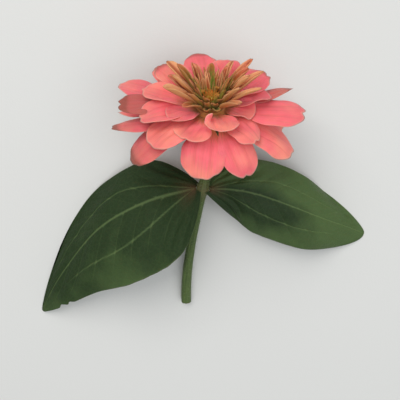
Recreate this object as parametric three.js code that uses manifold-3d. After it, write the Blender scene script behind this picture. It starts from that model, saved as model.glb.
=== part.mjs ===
// A zinnia flower as picked: a double bloom on its cut stem, with the pair of leaves below it.
// It lies on a surface, propped on the rays of its lower side, the stem's cut end and the leaves.
// Millimetres, +Z up. The stem runs towards +Y, and the origin lies on the surface, under the
// middle of the flower's outline.

import * as THREE from "three";
import { mergeVertices } from "three/addons/utils/BufferGeometryUtils.js";
import Module from "manifold-3d";

const wasm = await Module();
wasm.setup();

// ---------------------------------------------------------------------------
// Driving dimensions, in millimetres, with angles in degrees
// ---------------------------------------------------------------------------

const GAP = 0.3; // clearance between pieces that touch
const OUTLINE_CENTRE = { x: -4.8, y: -0.9 }; // middle of the lying flower, before it is centred
const SETTLE = 3; // height over which a blade bends flat as it meets the surface
const PRESSED = 0.15; // how much thinner a blade is where it lies flat on the surface

const HEAD_BASE = [0, 28, 30]; // where the stem carries the head
const HEAD_TILT = 30; // rise of the bloom's axis above the surface

const STEM_PATH = [
  [-12, -62, 2.3],
  [-13, -32, 5.6],
  [-1.5, 0.3, 14],
  HEAD_BASE,
];
const STEM_RADIUS = { cut: 2.5, middle: 2.15, node: 0.95, neck: 1.15 };
const STEM_SIDES = 12;
const STEM_STATIONS = 26;

// Places along the stem, as shares of its length from the cut end.
const STEM_MIDDLE = 0.5; // where the taper from the cut ends
const LEAF_NODE = 0.7; // where the leaves grow
const NODE_SPREAD = 0.03; // length of the swelling at the leaves
const NECK = 0.88; // where the stem starts to widen towards the head

// The green cup under the rays: radius and height of its outline, from the stem up.
const CUP_TOP = 12.8;
const CUP_OUTLINE = [
  [3.6, 0],
  [6.1, 1.9],
  [7.8, 5],
  [8.6, 9],
  [8.8, CUP_TOP],
];
const CUP_SIDES = 24;
const BRACT = { thickness: 0.9, length: 5, width: 5.3, foot: 0.8, flare: 0.7, tipRound: 0.5 };
const BRACT_LIFT = 0.1; // how far a bract's foot stands off the cup
const BRACT_ROWS = [
  { count: 8, height: 0.7, turn: 0 },
  { count: 9, height: 3.4, turn: 14 },
  { count: 10, height: 6.2, turn: 5 },
];

// The receptacle's core, which the coral rays grow from, and the ring above it for the young ones.
const CORE = { foot: 8.2, top: 6.2, base: CUP_TOP + GAP, height: 18, sides: 20 };
const RING_BASE = CORE.height + GAP;
const RING = { outerFoot: 6, outerTop: 5.2, inner: 3.7, base: RING_BASE, height: 21, sides: 14 };
const DISC_OUTLINE = [
  [0, RING_BASE],
  [3, RING_BASE],
  [3, 21.5],
  [1.8, 22.7],
  [0, 23],
];
const DISC_SIDES = 16;

// Upright scales of the disc: how far out they stand, their size, the height of the middle one's
// foot and how much lower each stands for every millimetre from the axis.
const PALES = { count: 26, spread: 2.6, foot: 0.6, height: 4, sides: 4, base: 21.5, fall: 0.3 };

// Rows of coral rays, from the lowest up. Each ray is its azimuth, the shares of the row's length
// and width that it has, how far its tip is raised and how far it is twisted. Azimuth -90 faces
// away from the surface, +90 faces it.
const BLADE = 0.8; // thickness of a broad ray
const YOUNG_BLADE = 0.7; // thickness of a young, narrow ray
const CORAL_ROWS = [
  {
    radius: 6.4, height: 14, length: 35, width: 19.5, rise: [-2, -60], arch: -20,
    rays: [
      [-98, 0.83, 1, 0, 0], [-62, 0.8, 0.86, 2, 0], [-17, 1, 1, 20, 0], [12, 0.92, 0.9, 16, 0],
      [44, 1, 1, 0, 0], [80, 1.1, 1, -16, 0], [118, 1.1, 1, -16, 0], [160, 1.18, 0.75, 36, 20],
      [-174, 1.04, 0.85, 42, 18], [-160, 1.02, 0.95, 2, 0],
    ],
  },
  {
    radius: 5.9, height: 15.4, length: 36, width: 17.5, rise: [14, -32], arch: -16,
    rays: [
      [-119, 0.52, 0.93, 14, 0], [-42, 0.6, 0.9, 2, 0], [-4, 1, 1, 24, 0],
      [22, 0.96, 0.7, 20, -35], [49, 0.92, 1, 22, 0], [88, 0.88, 1, 36, 0], [127, 0.95, 1, 32, 0],
      [158, 1.03, 1, 35, 0], [-178, 0.93, 0.7, 28, -6], [-140, 0.79, 1, 2, 0],
    ],
  },
  {
    radius: 5.2, height: 16.6, length: 27, width: 15, rise: [25, -14], arch: 18,
    rays: [
      [-150, 0.62, 0.9, 6, 0], [-77, 0.58, 1.05, 2, -8], [-14, 0.56, 0.9, 4, 0],
      [6, 0.82, 0.9, 10, 0], [33, 1.03, 1, 19, 0], [68, 0.92, 1, 28, 0], [100, 0.97, 1, 36, 0],
      [137, 1.03, 1, 30, 0], [170, 0.95, 0.9, 10, 0], [-163, 1.06, 1.05, -8, -8],
    ],
  },
];

// Rows of young, rolled rays round the disc. They are shorter on the side that opened first, and
// a little shorter opposite to it.
const YOUNG_ROWS = [
  { count: 13, turn: 8, radius: 5.6, height: 19.1, length: 22, width: 6, rise: [44, 28], arch: 98 },
  { count: 11, turn: 24, radius: 5.3, height: 19.6, length: 18, width: 5, rise: [58, 47], arch: 104 },
  { count: 9, turn: 3, radius: 4.9, height: 20.2, length: 11, width: 3.2, rise: [80, 73], arch: 108 },
];
const SHORTENED = [
  { azimuth: -92, spread: 40, loss: 0.72 },
  { azimuth: 88, spread: 48, loss: 0.2 },
];

// How much neighbouring rays differ by chance: in degrees, in shares of their size and, for the
// wave of their edges, in millimetres. A ray's foot has only a share of its difference in rise.
const CHANCE = { azimuth: 3, length: 0.05, width: 0.025, rise: 5, twist: 9, wave: 0.9 };
const YOUNG_CHANCE = { azimuth: 5, length: 0.14, width: 0.2, rise: 7, twist: 14, wave: 0.3 };
const FOOT_SHARE = 0.3;

// A ray's outline, as shares of its length and breadth: a narrow foot that widens to the full
// breadth, a taper, and a blunt tip with a nick.
const RAY_OUTLINE = {
  foot: 0.2, spread: 0.55, taper: 0, tipRound: 0.3, nick: 0.028, nickBreadth: 0.22,
};
const YOUNG_OUTLINE = {
  foot: 0.38, spread: 0.35, taper: 0.35, tipRound: 0.3, nick: 0.02, nickBreadth: 0.3,
};
const ARCHING = { foot: 0.15, spread: 0.35 }; // share of the arch at the foot, and where it is full
const EDGE_WAVES = 7; // radians of wave along a ray's edges
const RAY_GRID = { stations: 5, columns: 4 };
const YOUNG_GRID = { stations: 3, columns: 2 };
const BRACT_GRID = { stations: 2, columns: 2 };

// The two stalkless leaves. Midribs are relative to the stem's node. A blade's near half is the
// one towards the stem's cut end, its far half the one towards the bloom.
const LEAF_THICKNESS = 0.8;
const LEAF_END = 0.985; // where the blade is cut square, just short of its tip
const LEAF_GRID = { stations: 14, columns: 8 };
const LEAF_OUTLINE = { basePower: 0.55, foot: 0.2, footPower: 6 };
const LEAF_WAVE = { base: 0.25, tip: 0.2, slant: 0.2 }; // where the margins' wave grows and dies
const CLASP = { angle: 75, share: 0.15 }; // how far a leaf's base reaches round the stem
const LEAVES = {
  leaf_left: {
    outward: -1,
    midrib: [[-3.9, 0, 0], [-33, -5.2, 8], [-56, -11.3, -2], [-85.3, -70.2, -17.6]],
    near: 34.3, far: 23.7, tilt: [24, 46], arch: 28, tipPower: 0.75,
    wave: 1.6, waves: 2.2, phase: 0.1,
  },
  leaf_right: {
    outward: 1,
    midrib: [[3.9, 0, 0], [26.6, 3, 7], [48.2, -12.4, 2], [83.9, -27.4, -20.6]],
    near: 20.9, far: 18.7, tilt: [-6, 26], arch: 40, tipPower: 0.55,
    wave: 2, waves: 2.6, phase: 0.55,
  },
};

const COLOURS = {
  coral_rays: "#ee7f7b",
  young_rays: "#c98a58",
  disc: "#7d5a2b",
  involucre: "#5d6b3a",
  stem: "#4a5a2e",
  leaf_left: "#2f4422",
  leaf_right: "#4a5e3c",
};

// ---------------------------------------------------------------------------
// Small mathematics
// ---------------------------------------------------------------------------

const rad = THREE.MathUtils.degToRad;

// A fixed draw from -1 to 1 for one trait of one ray: the fraction of a large sine.
const DRAW = { row: 12.9898, ray: 78.233, trait: 37.719, size: 43758.5453 };

function draw(row, ray, trait) {
  const value = Math.sin(row * DRAW.row + ray * DRAW.ray + trait * DRAW.trait) * DRAW.size;
  return 2 * (value - Math.floor(value)) - 1;
}

// A smooth step from 0 at 0 to 1 at 1, flat outside.
function ease(x) {
  const c = THREE.MathUtils.clamp(x, 0, 1);
  return c * c * (3 - 2 * c);
}

// A height that never falls below the lowest, and bends smoothly into it.
function settled(height, lowest) {
  const above = height - lowest;
  if (above >= SETTLE) return height;
  if (above <= -SETTLE) return lowest;
  return lowest + (above + SETTLE) ** 2 / (4 * SETTLE);
}

// ---------------------------------------------------------------------------
// Solids
// ---------------------------------------------------------------------------

function solidFrom(positions, triangles) {
  return new wasm.Manifold(
    new wasm.Mesh({
      numProp: 3,
      vertProperties: new Float32Array(positions),
      triVerts: new Uint32Array(triangles),
    }),
  );
}

function solidOf(geometry) {
  const bare = geometry.clone();
  bare.deleteAttribute("normal");
  bare.deleteAttribute("uv");
  const merged = mergeVertices(bare, 1e-4);
  return solidFrom(merged.attributes.position.array, merged.index.array);
}

// One body from overlapping solids. A hollow that they seal between them is filled, because only
// the outermost skin, which holds the most, is kept.
function fused(solids) {
  const skins = solids.reduce((whole, solid) => whole.add(solid)).decompose();
  return skins.reduce((most, skin) => (skin.volume() > most.volume() ? skin : most));
}

// A thin blade as one closed body. surface(along, across) is its middle surface, and
// outline(s, q) gives along and across for s from 0 to 1 and q from -1 to 1. Half the thickness
// stands off each side, and both faces are split into triangles alike.
function blade({ surface, outline, thickness, stations, columns }) {
  const step = 0.01;
  const positions = [];
  for (const side of [0.5, -0.5]) {
    for (let i = 0; i <= stations; i++) {
      for (let j = 0; j <= columns; j++) {
        const [along, across] = outline(i / stations, (2 * j) / columns - 1);
        const lengthwise = surface(along + step, across).sub(surface(along - step, across));
        const crosswise = surface(along, across + step).sub(surface(along, across - step));
        const normal = lengthwise.cross(crosswise).normalize();
        const point = surface(along, across).addScaledVector(normal, side * thickness);
        positions.push(point.x, point.y, Math.max(point.z, 0));
      }
    }
  }
  const row = columns + 1;
  const face = row * (stations + 1);
  const triangles = [];
  const quad = (a, b, c, d) => triangles.push(a, b, c, a, c, d);
  for (let i = 0; i < stations; i++) {
    for (let j = 0; j < columns; j++) {
      const a = i * row + j;
      triangles.push(a, a + row, a + row + 1, a, a + row + 1, a + 1);
      const b = a + face;
      triangles.push(b, b + row + 1, b + row, b, b + 1, b + row + 1);
    }
  }
  for (let i = 0; i < stations; i++) {
    const left = i * row;
    const right = left + columns;
    quad(left, left + face, left + face + row, left + row);
    quad(right, right + row, right + face + row, right + face);
  }
  for (let j = 0; j < columns; j++) {
    const tip = stations * row + j;
    quad(j, j + 1, j + 1 + face, j + face);
    quad(tip, tip + face, tip + face + 1, tip + 1);
  }
  return solidFrom(positions, triangles);
}

// ---------------------------------------------------------------------------
// Groups: the bloom's own frame has +Z up its axis and +Y towards the surface
// ---------------------------------------------------------------------------

const flower = new THREE.Group();
const bloom = new THREE.Group();
bloom.position.set(...HEAD_BASE);
bloom.rotation.x = rad(HEAD_TILT - 90);
bloom.updateMatrixWorld();

// Adds a solid made in the flower's frame to a group, as a named mesh.
function addPiece(group, name, solid, roughness) {
  const made = solid.getMesh();
  const geometry = new THREE.BufferGeometry();
  geometry.setAttribute("position", new THREE.BufferAttribute(made.vertProperties, 3));
  geometry.setIndex(new THREE.BufferAttribute(made.triVerts, 1));
  geometry.applyMatrix4(group.matrixWorld.clone().invert());
  const material = new THREE.MeshStandardMaterial({ color: COLOURS[name], roughness });
  const mesh = new THREE.Mesh(geometry, material);
  mesh.name = name;
  group.add(mesh);
}

// A body turned round the bloom's axis, from an outline of radius and height pairs.
function turned(outline, segments) {
  const points = outline.map(([radius, height]) => new THREE.Vector2(radius, height));
  const geometry = new THREE.LatheGeometry(points, segments);
  geometry.rotateX(Math.PI / 2);
  geometry.applyMatrix4(bloom.matrixWorld);
  return solidOf(geometry);
}

// ---------------------------------------------------------------------------
// Rays
// ---------------------------------------------------------------------------

// A ray's middle surface: its midline leaves the head at one rise and bends evenly to another,
// and its cross-section is an arc, with a wave along the edges and a slight twist.
function raySurface(ray, thickness) {
  const turn = rad(ray.azimuth);
  const start = rad(ray.rise[0]);
  const bend = rad(ray.rise[1]) - start || 1e-6;
  return (along, across) => {
    const angle = start + bend * along;
    const reach = ray.radius + (ray.length * (Math.sin(angle) - Math.sin(start))) / bend;
    const height = ray.height - (ray.length * (Math.cos(angle) - Math.cos(start))) / bend;
    const { foot, spread, taper } = ray.outline;
    const widening = (foot + (1 - foot) * ease(along / spread)) * (1 - taper * along ** 3);
    const half = (ray.width / 2) * widening;
    const arching = ARCHING.foot + (1 - ARCHING.foot) * ease(along / ARCHING.spread);
    const arch = rad(ray.arch) * arching;
    const wave = ray.wave * across ** 2 * along * Math.sin(EDGE_WAVES * along + ray.phase);
    const sideways = (half * Math.sin(across * arch)) / arch;
    const lift = (half * (1 - Math.cos(across * arch))) / arch + wave;
    const twist = rad(ray.twist) * along;
    const side = sideways * Math.cos(twist) - lift * Math.sin(twist);
    const up = sideways * Math.sin(twist) + lift * Math.cos(twist);
    const outward = reach - up * Math.sin(angle);
    const point = new THREE.Vector3(
      outward * Math.cos(turn) - side * Math.sin(turn),
      outward * Math.sin(turn) + side * Math.cos(turn),
      height + up * Math.cos(angle),
    );
    bloom.localToWorld(point);
    point.z = settled(point.z, thickness / 2 - PRESSED);
    return point;
  };
}

// Along and across for a ray: across is closer spaced at the edges, and the tip is rounded
// towards them, with a nick in its middle.
function rayOutline({ tipRound, nick, nickBreadth }) {
  return (s, q) => {
    const across = Math.sin((Math.PI / 2) * q);
    const rounding = tipRound * (1 - Math.sqrt(Math.max(1 - across * across, 0)));
    const notch = nick * Math.exp(-((across / nickBreadth) ** 2));
    return [s * (1 - rounding - notch), across];
  };
}

function rayBlade(ray, thickness, size) {
  return blade({
    surface: raySurface(ray, thickness),
    outline: rayOutline(ray.outline),
    thickness,
    ...size,
  });
}

// A ray as its row gives it, with its chance differences.
function variedRay(row, number, index, [azimuth, long, broad, raised, twisted], chance, outline) {
  const lean = chance.rise * draw(number, index, 3);
  return {
    azimuth: azimuth + chance.azimuth * draw(number, index, 1),
    radius: row.radius,
    height: row.height,
    length: row.length * long * (1 + chance.length * draw(number, index, 2)),
    width: row.width * broad * (1 + chance.width * draw(number, index, 6)),
    rise: [row.rise[0] + FOOT_SHARE * lean, row.rise[1] + lean + raised],
    arch: row.arch,
    twist: twisted + chance.twist * draw(number, index, 4),
    wave: chance.wave,
    phase: Math.PI * draw(number, index, 5),
    outline,
  };
}

function coralRays() {
  const core = turned(
    [[0, CORE.base], [CORE.foot, CORE.base], [CORE.top, CORE.height], [0, CORE.height]],
    CORE.sides,
  );
  const rays = CORAL_ROWS.flatMap((row, number) =>
    row.rays.map((traits, index) =>
      rayBlade(variedRay(row, number, index, traits, CHANCE, RAY_OUTLINE), BLADE, RAY_GRID),
    ),
  );
  return fused([core, ...rays]);
}

// The share of its row's length that a young ray has, by where it stands.
function youngShare(azimuth) {
  const losses = SHORTENED.map(({ azimuth: middle, spread, loss }) => {
    const away = THREE.MathUtils.euclideanModulo(azimuth - middle + 180, 360) - 180;
    return loss * Math.exp(-((away / spread) ** 2));
  });
  return 1 - losses[0] - losses[1];
}

function youngRays() {
  const ring = turned(
    [
      [RING.inner, RING.base],
      [RING.outerFoot, RING.base],
      [RING.outerTop, RING.height],
      [RING.inner, RING.height],
      [RING.inner, RING.base],
    ],
    RING.sides,
  );
  const rays = YOUNG_ROWS.flatMap((row, r) =>
    Array.from({ length: row.count }, (_, index) => {
      const azimuth = row.turn + (360 * index) / row.count;
      const traits = [azimuth, youngShare(azimuth), 1, 0, 0];
      const number = r + CORAL_ROWS.length;
      const ray = variedRay(row, number, index, traits, YOUNG_CHANCE, YOUNG_OUTLINE);
      return rayBlade(ray, YOUNG_BLADE, YOUNG_GRID);
    }),
  );
  return fused([ring, ...rays]);
}

// ---------------------------------------------------------------------------
// Disc: a domed plug covered in upright scales, set by the golden angle
// ---------------------------------------------------------------------------

function disc() {
  const plug = turned(DISC_OUTLINE, DISC_SIDES);
  const goldenAngle = Math.PI * (3 - Math.sqrt(5));
  const pales = Array.from({ length: PALES.count }, (_, k) => {
    const radius = PALES.spread * Math.sqrt((k + 0.5) / PALES.count);
    const scale = new THREE.ConeGeometry(PALES.foot, PALES.height, PALES.sides);
    scale.rotateX(Math.PI / 2);
    scale.rotateZ(k);
    scale.translate(
      radius * Math.cos(k * goldenAngle),
      radius * Math.sin(k * goldenAngle),
      PALES.base + PALES.height / 2 - PALES.fall * radius,
    );
    scale.applyMatrix4(bloom.matrixWorld);
    return solidOf(scale);
  });
  return fused([plug, ...pales]);
}

// ---------------------------------------------------------------------------
// Involucre: the cup, with overlapping rows of rounded bracts
// ---------------------------------------------------------------------------

function cupRadius(height) {
  const above = CUP_OUTLINE.findIndex((point) => point[1] >= height);
  const [r1, h1] = CUP_OUTLINE[Math.max(above, 1)];
  const [r0, h0] = CUP_OUTLINE[Math.max(above, 1) - 1];
  return r0 + ((r1 - r0) * (height - h0)) / (h1 - h0);
}

function bract(azimuth, foot) {
  const surface = (along, across) => {
    const height = foot + BRACT.length * along;
    const radius = cupRadius(height) + BRACT_LIFT + BRACT.flare * along * along;
    const half = (BRACT.width / 2) * Math.min(1, BRACT.foot + along / 2);
    const angle = azimuth + (across * half) / radius;
    const point = new THREE.Vector3(radius * Math.cos(angle), radius * Math.sin(angle), height);
    return bloom.localToWorld(point);
  };
  const outline = rayOutline({ tipRound: BRACT.tipRound, nick: 0, nickBreadth: 1 });
  return blade({ surface, outline, thickness: BRACT.thickness, ...BRACT_GRID });
}

function involucre() {
  const cup = turned([[0, 0], ...CUP_OUTLINE, [0, CUP_TOP]], CUP_SIDES);
  const bracts = BRACT_ROWS.flatMap(({ count, height, turn }) =>
    Array.from({ length: count }, (_, k) => bract(rad(turn + (360 * k) / count), height)),
  );
  return fused([cup, ...bracts]);
}

// ---------------------------------------------------------------------------
// Stem
// ---------------------------------------------------------------------------

const stemCurve = new THREE.CubicBezierCurve3(
  ...STEM_PATH.map((point) => new THREE.Vector3(...point)),
);

function stemRadius(s) {
  const { cut, middle, node, neck } = STEM_RADIUS;
  const swelling = node * Math.exp(-(((s - LEAF_NODE) / NODE_SPREAD) ** 2));
  const taper = cut + (middle - cut) * ease(s / STEM_MIDDLE);
  return taper + swelling + neck * ease((s - NECK) / (1 - NECK));
}

// The stem's place and its sideways and upward directions, at a share of its length.
function stemFrame(s) {
  const tangent = stemCurve.getTangent(s);
  const sideways = new THREE.Vector3(1, 0, 0).addScaledVector(tangent, -tangent.x).normalize();
  const upward = sideways.clone().cross(tangent);
  return { centre: stemCurve.getPoint(s), tangent, sideways, upward };
}

function stem() {
  const positions = [];
  const triangles = [];
  for (let i = 0; i <= STEM_STATIONS; i++) {
    const s = i / STEM_STATIONS;
    const { centre, tangent, sideways, upward } = stemFrame(s);
    if (i === STEM_STATIONS) centre.addScaledVector(tangent, -GAP);
    for (let j = 0; j < STEM_SIDES; j++) {
      const angle = (2 * Math.PI * (j + 0.5)) / STEM_SIDES;
      const point = centre.clone();
      point.addScaledVector(sideways, stemRadius(s) * Math.cos(angle));
      point.addScaledVector(upward, stemRadius(s) * Math.sin(angle));
      positions.push(point.x, point.y, Math.max(point.z, 0));
    }
  }
  for (let i = 0; i < STEM_STATIONS; i++) {
    for (let j = 0; j < STEM_SIDES; j++) {
      const a = i * STEM_SIDES + j;
      const b = i * STEM_SIDES + ((j + 1) % STEM_SIDES);
      triangles.push(a, a + STEM_SIDES, b + STEM_SIDES, a, b + STEM_SIDES, b);
    }
  }
  const top = STEM_STATIONS * STEM_SIDES;
  for (let j = 1; j < STEM_SIDES - 1; j++) {
    triangles.push(0, j, j + 1, top, top + j + 1, top + j);
  }
  return solidFrom(positions, triangles);
}

// ---------------------------------------------------------------------------
// Leaves
// ---------------------------------------------------------------------------

// Half breadth of a leaf along its midrib, as a share of the greatest.
function leafShape(s, tipPower) {
  const { basePower, foot, footPower } = LEAF_OUTLINE;
  const widest = basePower / (basePower + tipPower);
  const greatest = widest ** basePower * (1 - widest) ** tipPower;
  return foot * (1 - s) ** footPower + (s ** basePower * (1 - s) ** tipPower) / greatest;
}

// A leaf's middle surface: an arched blade on a bent midrib, whose base clasps the stem.
function leafSurface(leaf) {
  const node = stemFrame(LEAF_NODE);
  const midrib = new THREE.CubicBezierCurve3(
    ...leaf.midrib.map((point) => new THREE.Vector3(...point).add(node.centre)),
  );
  const claspRadius = stemRadius(LEAF_NODE) + GAP + LEAF_THICKNESS / 2;
  const arch = rad(leaf.arch);
  return (along, across) => {
    const s = THREE.MathUtils.clamp(along, 0, 1);
    const tangent = midrib.getTangent(s);
    const farward = new THREE.Vector3(-tangent.y, tangent.x, 0).multiplyScalar(leaf.outward);
    farward.normalize();
    const upward = new THREE.Vector3(0, 0, 1).addScaledVector(tangent, -tangent.z).normalize();
    const breadth = across < 0 ? leaf.near : leaf.far;
    const half = breadth * leafShape(s, leaf.tipPower);
    const tilt = rad(leaf.tilt[0] + (leaf.tilt[1] - leaf.tilt[0]) * s);
    const level = (half * (Math.sin(tilt + arch * across) - Math.sin(tilt))) / arch;
    const drop = (half * (Math.cos(tilt) - Math.cos(tilt + arch * across))) / arch;
    const wave = leaf.wave * across ** 2 * ease(s / LEAF_WAVE.base) * ease((1 - s) / LEAF_WAVE.tip);
    const cycles = leaf.waves * s + leaf.phase + LEAF_WAVE.slant * across;
    const swing = wave * Math.sin(2 * Math.PI * cycles);
    const bladePoint = midrib.getPoint(s);
    bladePoint.addScaledVector(farward, level);
    bladePoint.addScaledVector(upward, swing - drop);
    const reach = rad(CLASP.angle) * across;
    const base = node.centre.clone();
    base.addScaledVector(node.sideways, leaf.outward * claspRadius * Math.cos(reach));
    base.addScaledVector(node.upward, -claspRadius * Math.sin(reach));
    const leaving = 1 - (1 - Math.min(along / CLASP.share, 1)) ** 2;
    const point = base.lerp(bladePoint, leaving);
    point.z = settled(point.z, LEAF_THICKNESS / 2 - PRESSED);
    return point;
  };
}

function leaf(name) {
  return blade({
    surface: leafSurface(LEAVES[name]),
    outline: (s, q) => [s * LEAF_END, q],
    thickness: LEAF_THICKNESS,
    ...LEAF_GRID,
  });
}

// ---------------------------------------------------------------------------
// The flower
// ---------------------------------------------------------------------------

addPiece(bloom, "coral_rays", coralRays(), 0.6);
addPiece(bloom, "young_rays", youngRays(), 0.6);
addPiece(bloom, "disc", disc(), 0.8);
addPiece(bloom, "involucre", involucre(), 0.7);
addPiece(flower, "stem", stem(), 0.65);
for (const name of Object.keys(LEAVES)) {
  addPiece(flower, name, leaf(name), 0.6);
}
flower.add(bloom);
flower.position.set(-OUTLINE_CENTRE.x, -OUTLINE_CENTRE.y, 0);

export default flower;
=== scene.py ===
"""A zinnia flower as picked, laid down on a pale surface: a salmon pink double bloom, the green cup
under it, the stem to its cut end and the pair of stalkless leaves.

Every visible piece is a surface worked out on a grid of two parameters. Lengths in the tables
below are millimetres and angles are degrees, in the flower's own frame: +Z up from the surface
it lies on, +Y along the stem towards the bloom. The bloom has a frame of its own, with +Z up its
axis and +Y towards the surface, so azimuth -90 faces away from the surface and +90 faces it.
"""

import math

import bpy
import numpy as np
from bpy.props import FloatProperty, FloatVectorProperty, IntProperty, PointerProperty
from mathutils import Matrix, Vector


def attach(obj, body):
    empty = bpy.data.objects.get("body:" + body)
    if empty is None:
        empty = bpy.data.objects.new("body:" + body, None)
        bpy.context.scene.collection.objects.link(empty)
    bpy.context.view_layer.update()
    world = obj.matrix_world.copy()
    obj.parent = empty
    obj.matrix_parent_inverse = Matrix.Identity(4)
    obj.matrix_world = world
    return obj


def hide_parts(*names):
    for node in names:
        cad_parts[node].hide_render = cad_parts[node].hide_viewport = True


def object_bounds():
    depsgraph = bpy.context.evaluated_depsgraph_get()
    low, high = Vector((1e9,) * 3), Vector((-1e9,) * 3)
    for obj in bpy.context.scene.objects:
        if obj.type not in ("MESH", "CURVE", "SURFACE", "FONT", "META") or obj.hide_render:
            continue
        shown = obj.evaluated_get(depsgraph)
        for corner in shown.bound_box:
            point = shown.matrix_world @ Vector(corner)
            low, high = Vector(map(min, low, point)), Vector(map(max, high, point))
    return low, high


bl_info = {
    "name": "Zinnia flower",
    "version": (1, 0, 0),
    "blender": (4, 5, 0),
    "location": "3D View > Sidebar > Zinnia",
    "description": "Builds a double zinnia bloom with its stem and pair of leaves, laid down",
    "category": "Object",
}

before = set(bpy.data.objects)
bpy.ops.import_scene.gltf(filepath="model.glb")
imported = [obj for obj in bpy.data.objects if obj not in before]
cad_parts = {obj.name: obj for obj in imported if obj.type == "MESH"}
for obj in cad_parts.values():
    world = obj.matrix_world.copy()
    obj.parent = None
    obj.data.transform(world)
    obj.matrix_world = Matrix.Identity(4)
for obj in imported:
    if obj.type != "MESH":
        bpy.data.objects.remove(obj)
CAD_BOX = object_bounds()

# --------------------------------------------------------------------------------------------
# Sizes, in millimetres and degrees
# --------------------------------------------------------------------------------------------

# One millimetre, in metres.
MM = 0.001
# The middle of the lying flower, before it is centred, and the height over which a blade bends
# flat as it meets the surface.
OUTLINE_CENTRE = (-4.8, -0.9, 0.0)
SETTLE = 3.0

# Where the stem carries the head, and the rise of the bloom's axis above the surface.
HEAD_BASE = (0, 28, 30)
HEAD_TILT = 30

# The stem's path is a cubic curve with these corners, from its cut end to the head. Its radius is
# given at the cut and in the middle, and the swelling at the leaves and the neck add to it. The
# ribs' depth is a share of it, and they turn by an angle in radians from end to end.
STEM_PATH = ((-12, -62, 2.3), (-13, -32, 5.6), (-1.5, 0.3, 14), HEAD_BASE)
STEM_RADIUS = {"cut": 2.5, "middle": 2.15, "node": 0.95, "neck": 1.15}
STEM_RIBS = {"count": 8, "depth": 0.035, "turn": 5}
# The cut end: rings as shares of its radius, how far each dips and how much it shows of the pith.
STEM_CUT = {
    "ring": (0.3, 0.62, 0.9, 1), "dip": (0.75, 0.55, 0.12, 0), "pith": (1, 0.95, 0.7, 0.15),
}

# Places along the stem, as shares of its length from the cut end: its middle, the leaves with the
# spread of the swelling there, where the neck starts and where the skin ends under the cup.
STEM_MIDDLE = 0.5
LEAF_NODE = 0.7
NODE_SPREAD = 0.03
NECK = 0.88
STEM_END = 0.9968

# Turned bodies, as pairs of radius and height that start and end on the axis: the cup, the core
# that carries the coral rays, the ring that carries the young rays and the base of the disc.
CUP_TOP = 12.8
CUP_OUTLINE = ((0, 0), (3.6, 0), (6.1, 1.9), (7.8, 5), (8.6, 9), (8.8, CUP_TOP), (0, CUP_TOP))
CORE_OUTLINE = ((0, 13.1), (8.2, 13.1), (6.2, 18), (0, 18))
RING_OUTLINE = ((0, 18.3), (6, 18.3), (5.2, 21), (3.2, 20.6), (0, 20.2))
DISC_OUTLINE = ((0, 18.6), (3, 18.6), (3, 21.3), (2.2, 22.3), (0, 22.8))

# A bract's thickness, length and width, how far its tip flares off the cup, how far it lies off
# the cup, how high its keel is and how broad, as a share, the share of its width that its foot has
# and how fast it widens, how round its tip is, how much thinner it is there, and the powers that
# place its dark edge. Then its differences by chance, as shares, and the numbers of its draws.
BRACT = {
    "thickness": 0.55, "length": 5.2, "width": 5.6, "flare": 0.7, "lift": 0.15, "keel": 0.18,
    "ridge": 0.3, "foot": 0.8, "widening": 0.5, "rounding": 0.5, "thinning": 0.35, "edge": (3, 5),
}
BRACT_CHANCE = {"length": 0.06, "flare": 0.4}
BRACT_DRAWS = {"length": 6, "flare": 5, "tone": 4}
# Rows of bracts: how many, the height of their feet and the azimuth of the first.
BRACT_ROWS = ((8, 0.7, 0), (9, 3.4, 14), (10, 6.2, 5), (12, 8.6, 21))

# Rows of coral rays, from the lowest up. The rays of a row leave the head at its radius and height.
# Rise is the slope of their midlines at the foot and at the tip, and arch is how far their sides
# bend up, or down where it is negative. Each ray is its azimuth, the shares of the row's length and
# width that it has, how far its tip is raised and how far it is twisted.
CORAL_ROWS = (
    {
        "radius": 6.4, "height": 14, "length": 35, "width": 19.5, "rise": (-2, -60), "arch": -20,
        "rays": (
            (-98, 0.83, 1, 0, 0), (-62, 0.8, 0.86, 2, 0), (-17, 1, 1, 20, 0),
            (12, 0.92, 0.9, 16, 0), (44, 1, 1, 0, 0), (80, 1.1, 1, -16, 0), (118, 1.1, 1, -16, 0),
            (160, 1.18, 0.75, 36, 20), (-174, 1.04, 0.85, 42, 18), (-160, 1.02, 0.95, 2, 0),
        ),
    },
    {
        "radius": 5.9, "height": 15.4, "length": 36, "width": 17.5, "rise": (14, -32), "arch": -16,
        "rays": (
            (-119, 0.52, 0.93, 14, 0), (-42, 0.6, 0.9, 2, 0), (-4, 1, 1, 24, 0),
            (22, 0.96, 0.7, 20, -35), (49, 0.92, 1, 22, 0), (88, 0.88, 1, 36, 0),
            (127, 0.95, 1, 32, 0), (158, 1.03, 1, 35, 0), (-178, 0.93, 0.7, 28, -6),
            (-140, 0.79, 1, 2, 0),
        ),
    },
    {
        "radius": 5.2, "height": 16.6, "length": 27, "width": 15, "rise": (25, -14), "arch": 18,
        "rays": (
            (-150, 0.62, 0.9, 6, 0), (-77, 0.58, 1.05, 2, -8), (-14, 0.56, 0.9, 4, 0),
            (6, 0.82, 0.9, 10, 0), (33, 1.03, 1, 19, 0), (68, 0.92, 1, 28, 0),
            (100, 0.97, 1, 36, 0), (137, 1.03, 1, 30, 0), (170, 0.95, 0.9, 10, 0),
            (-163, 1.06, 1.05, -8, -8),
        ),
    },
)

# One short petal has its margin folded up: where it is in the rows, the shares of its half breadth
# at which the crease lies and over which it bends, how far the margin is turned, and the shares of
# the length that the fold reaches and over which it dies out.
FOLD = {
    "row": 2, "ray": 1, "crease": -0.6, "bend": 0.2, "turn": 100, "reach": 0.85, "fade": 0.35,
}
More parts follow.
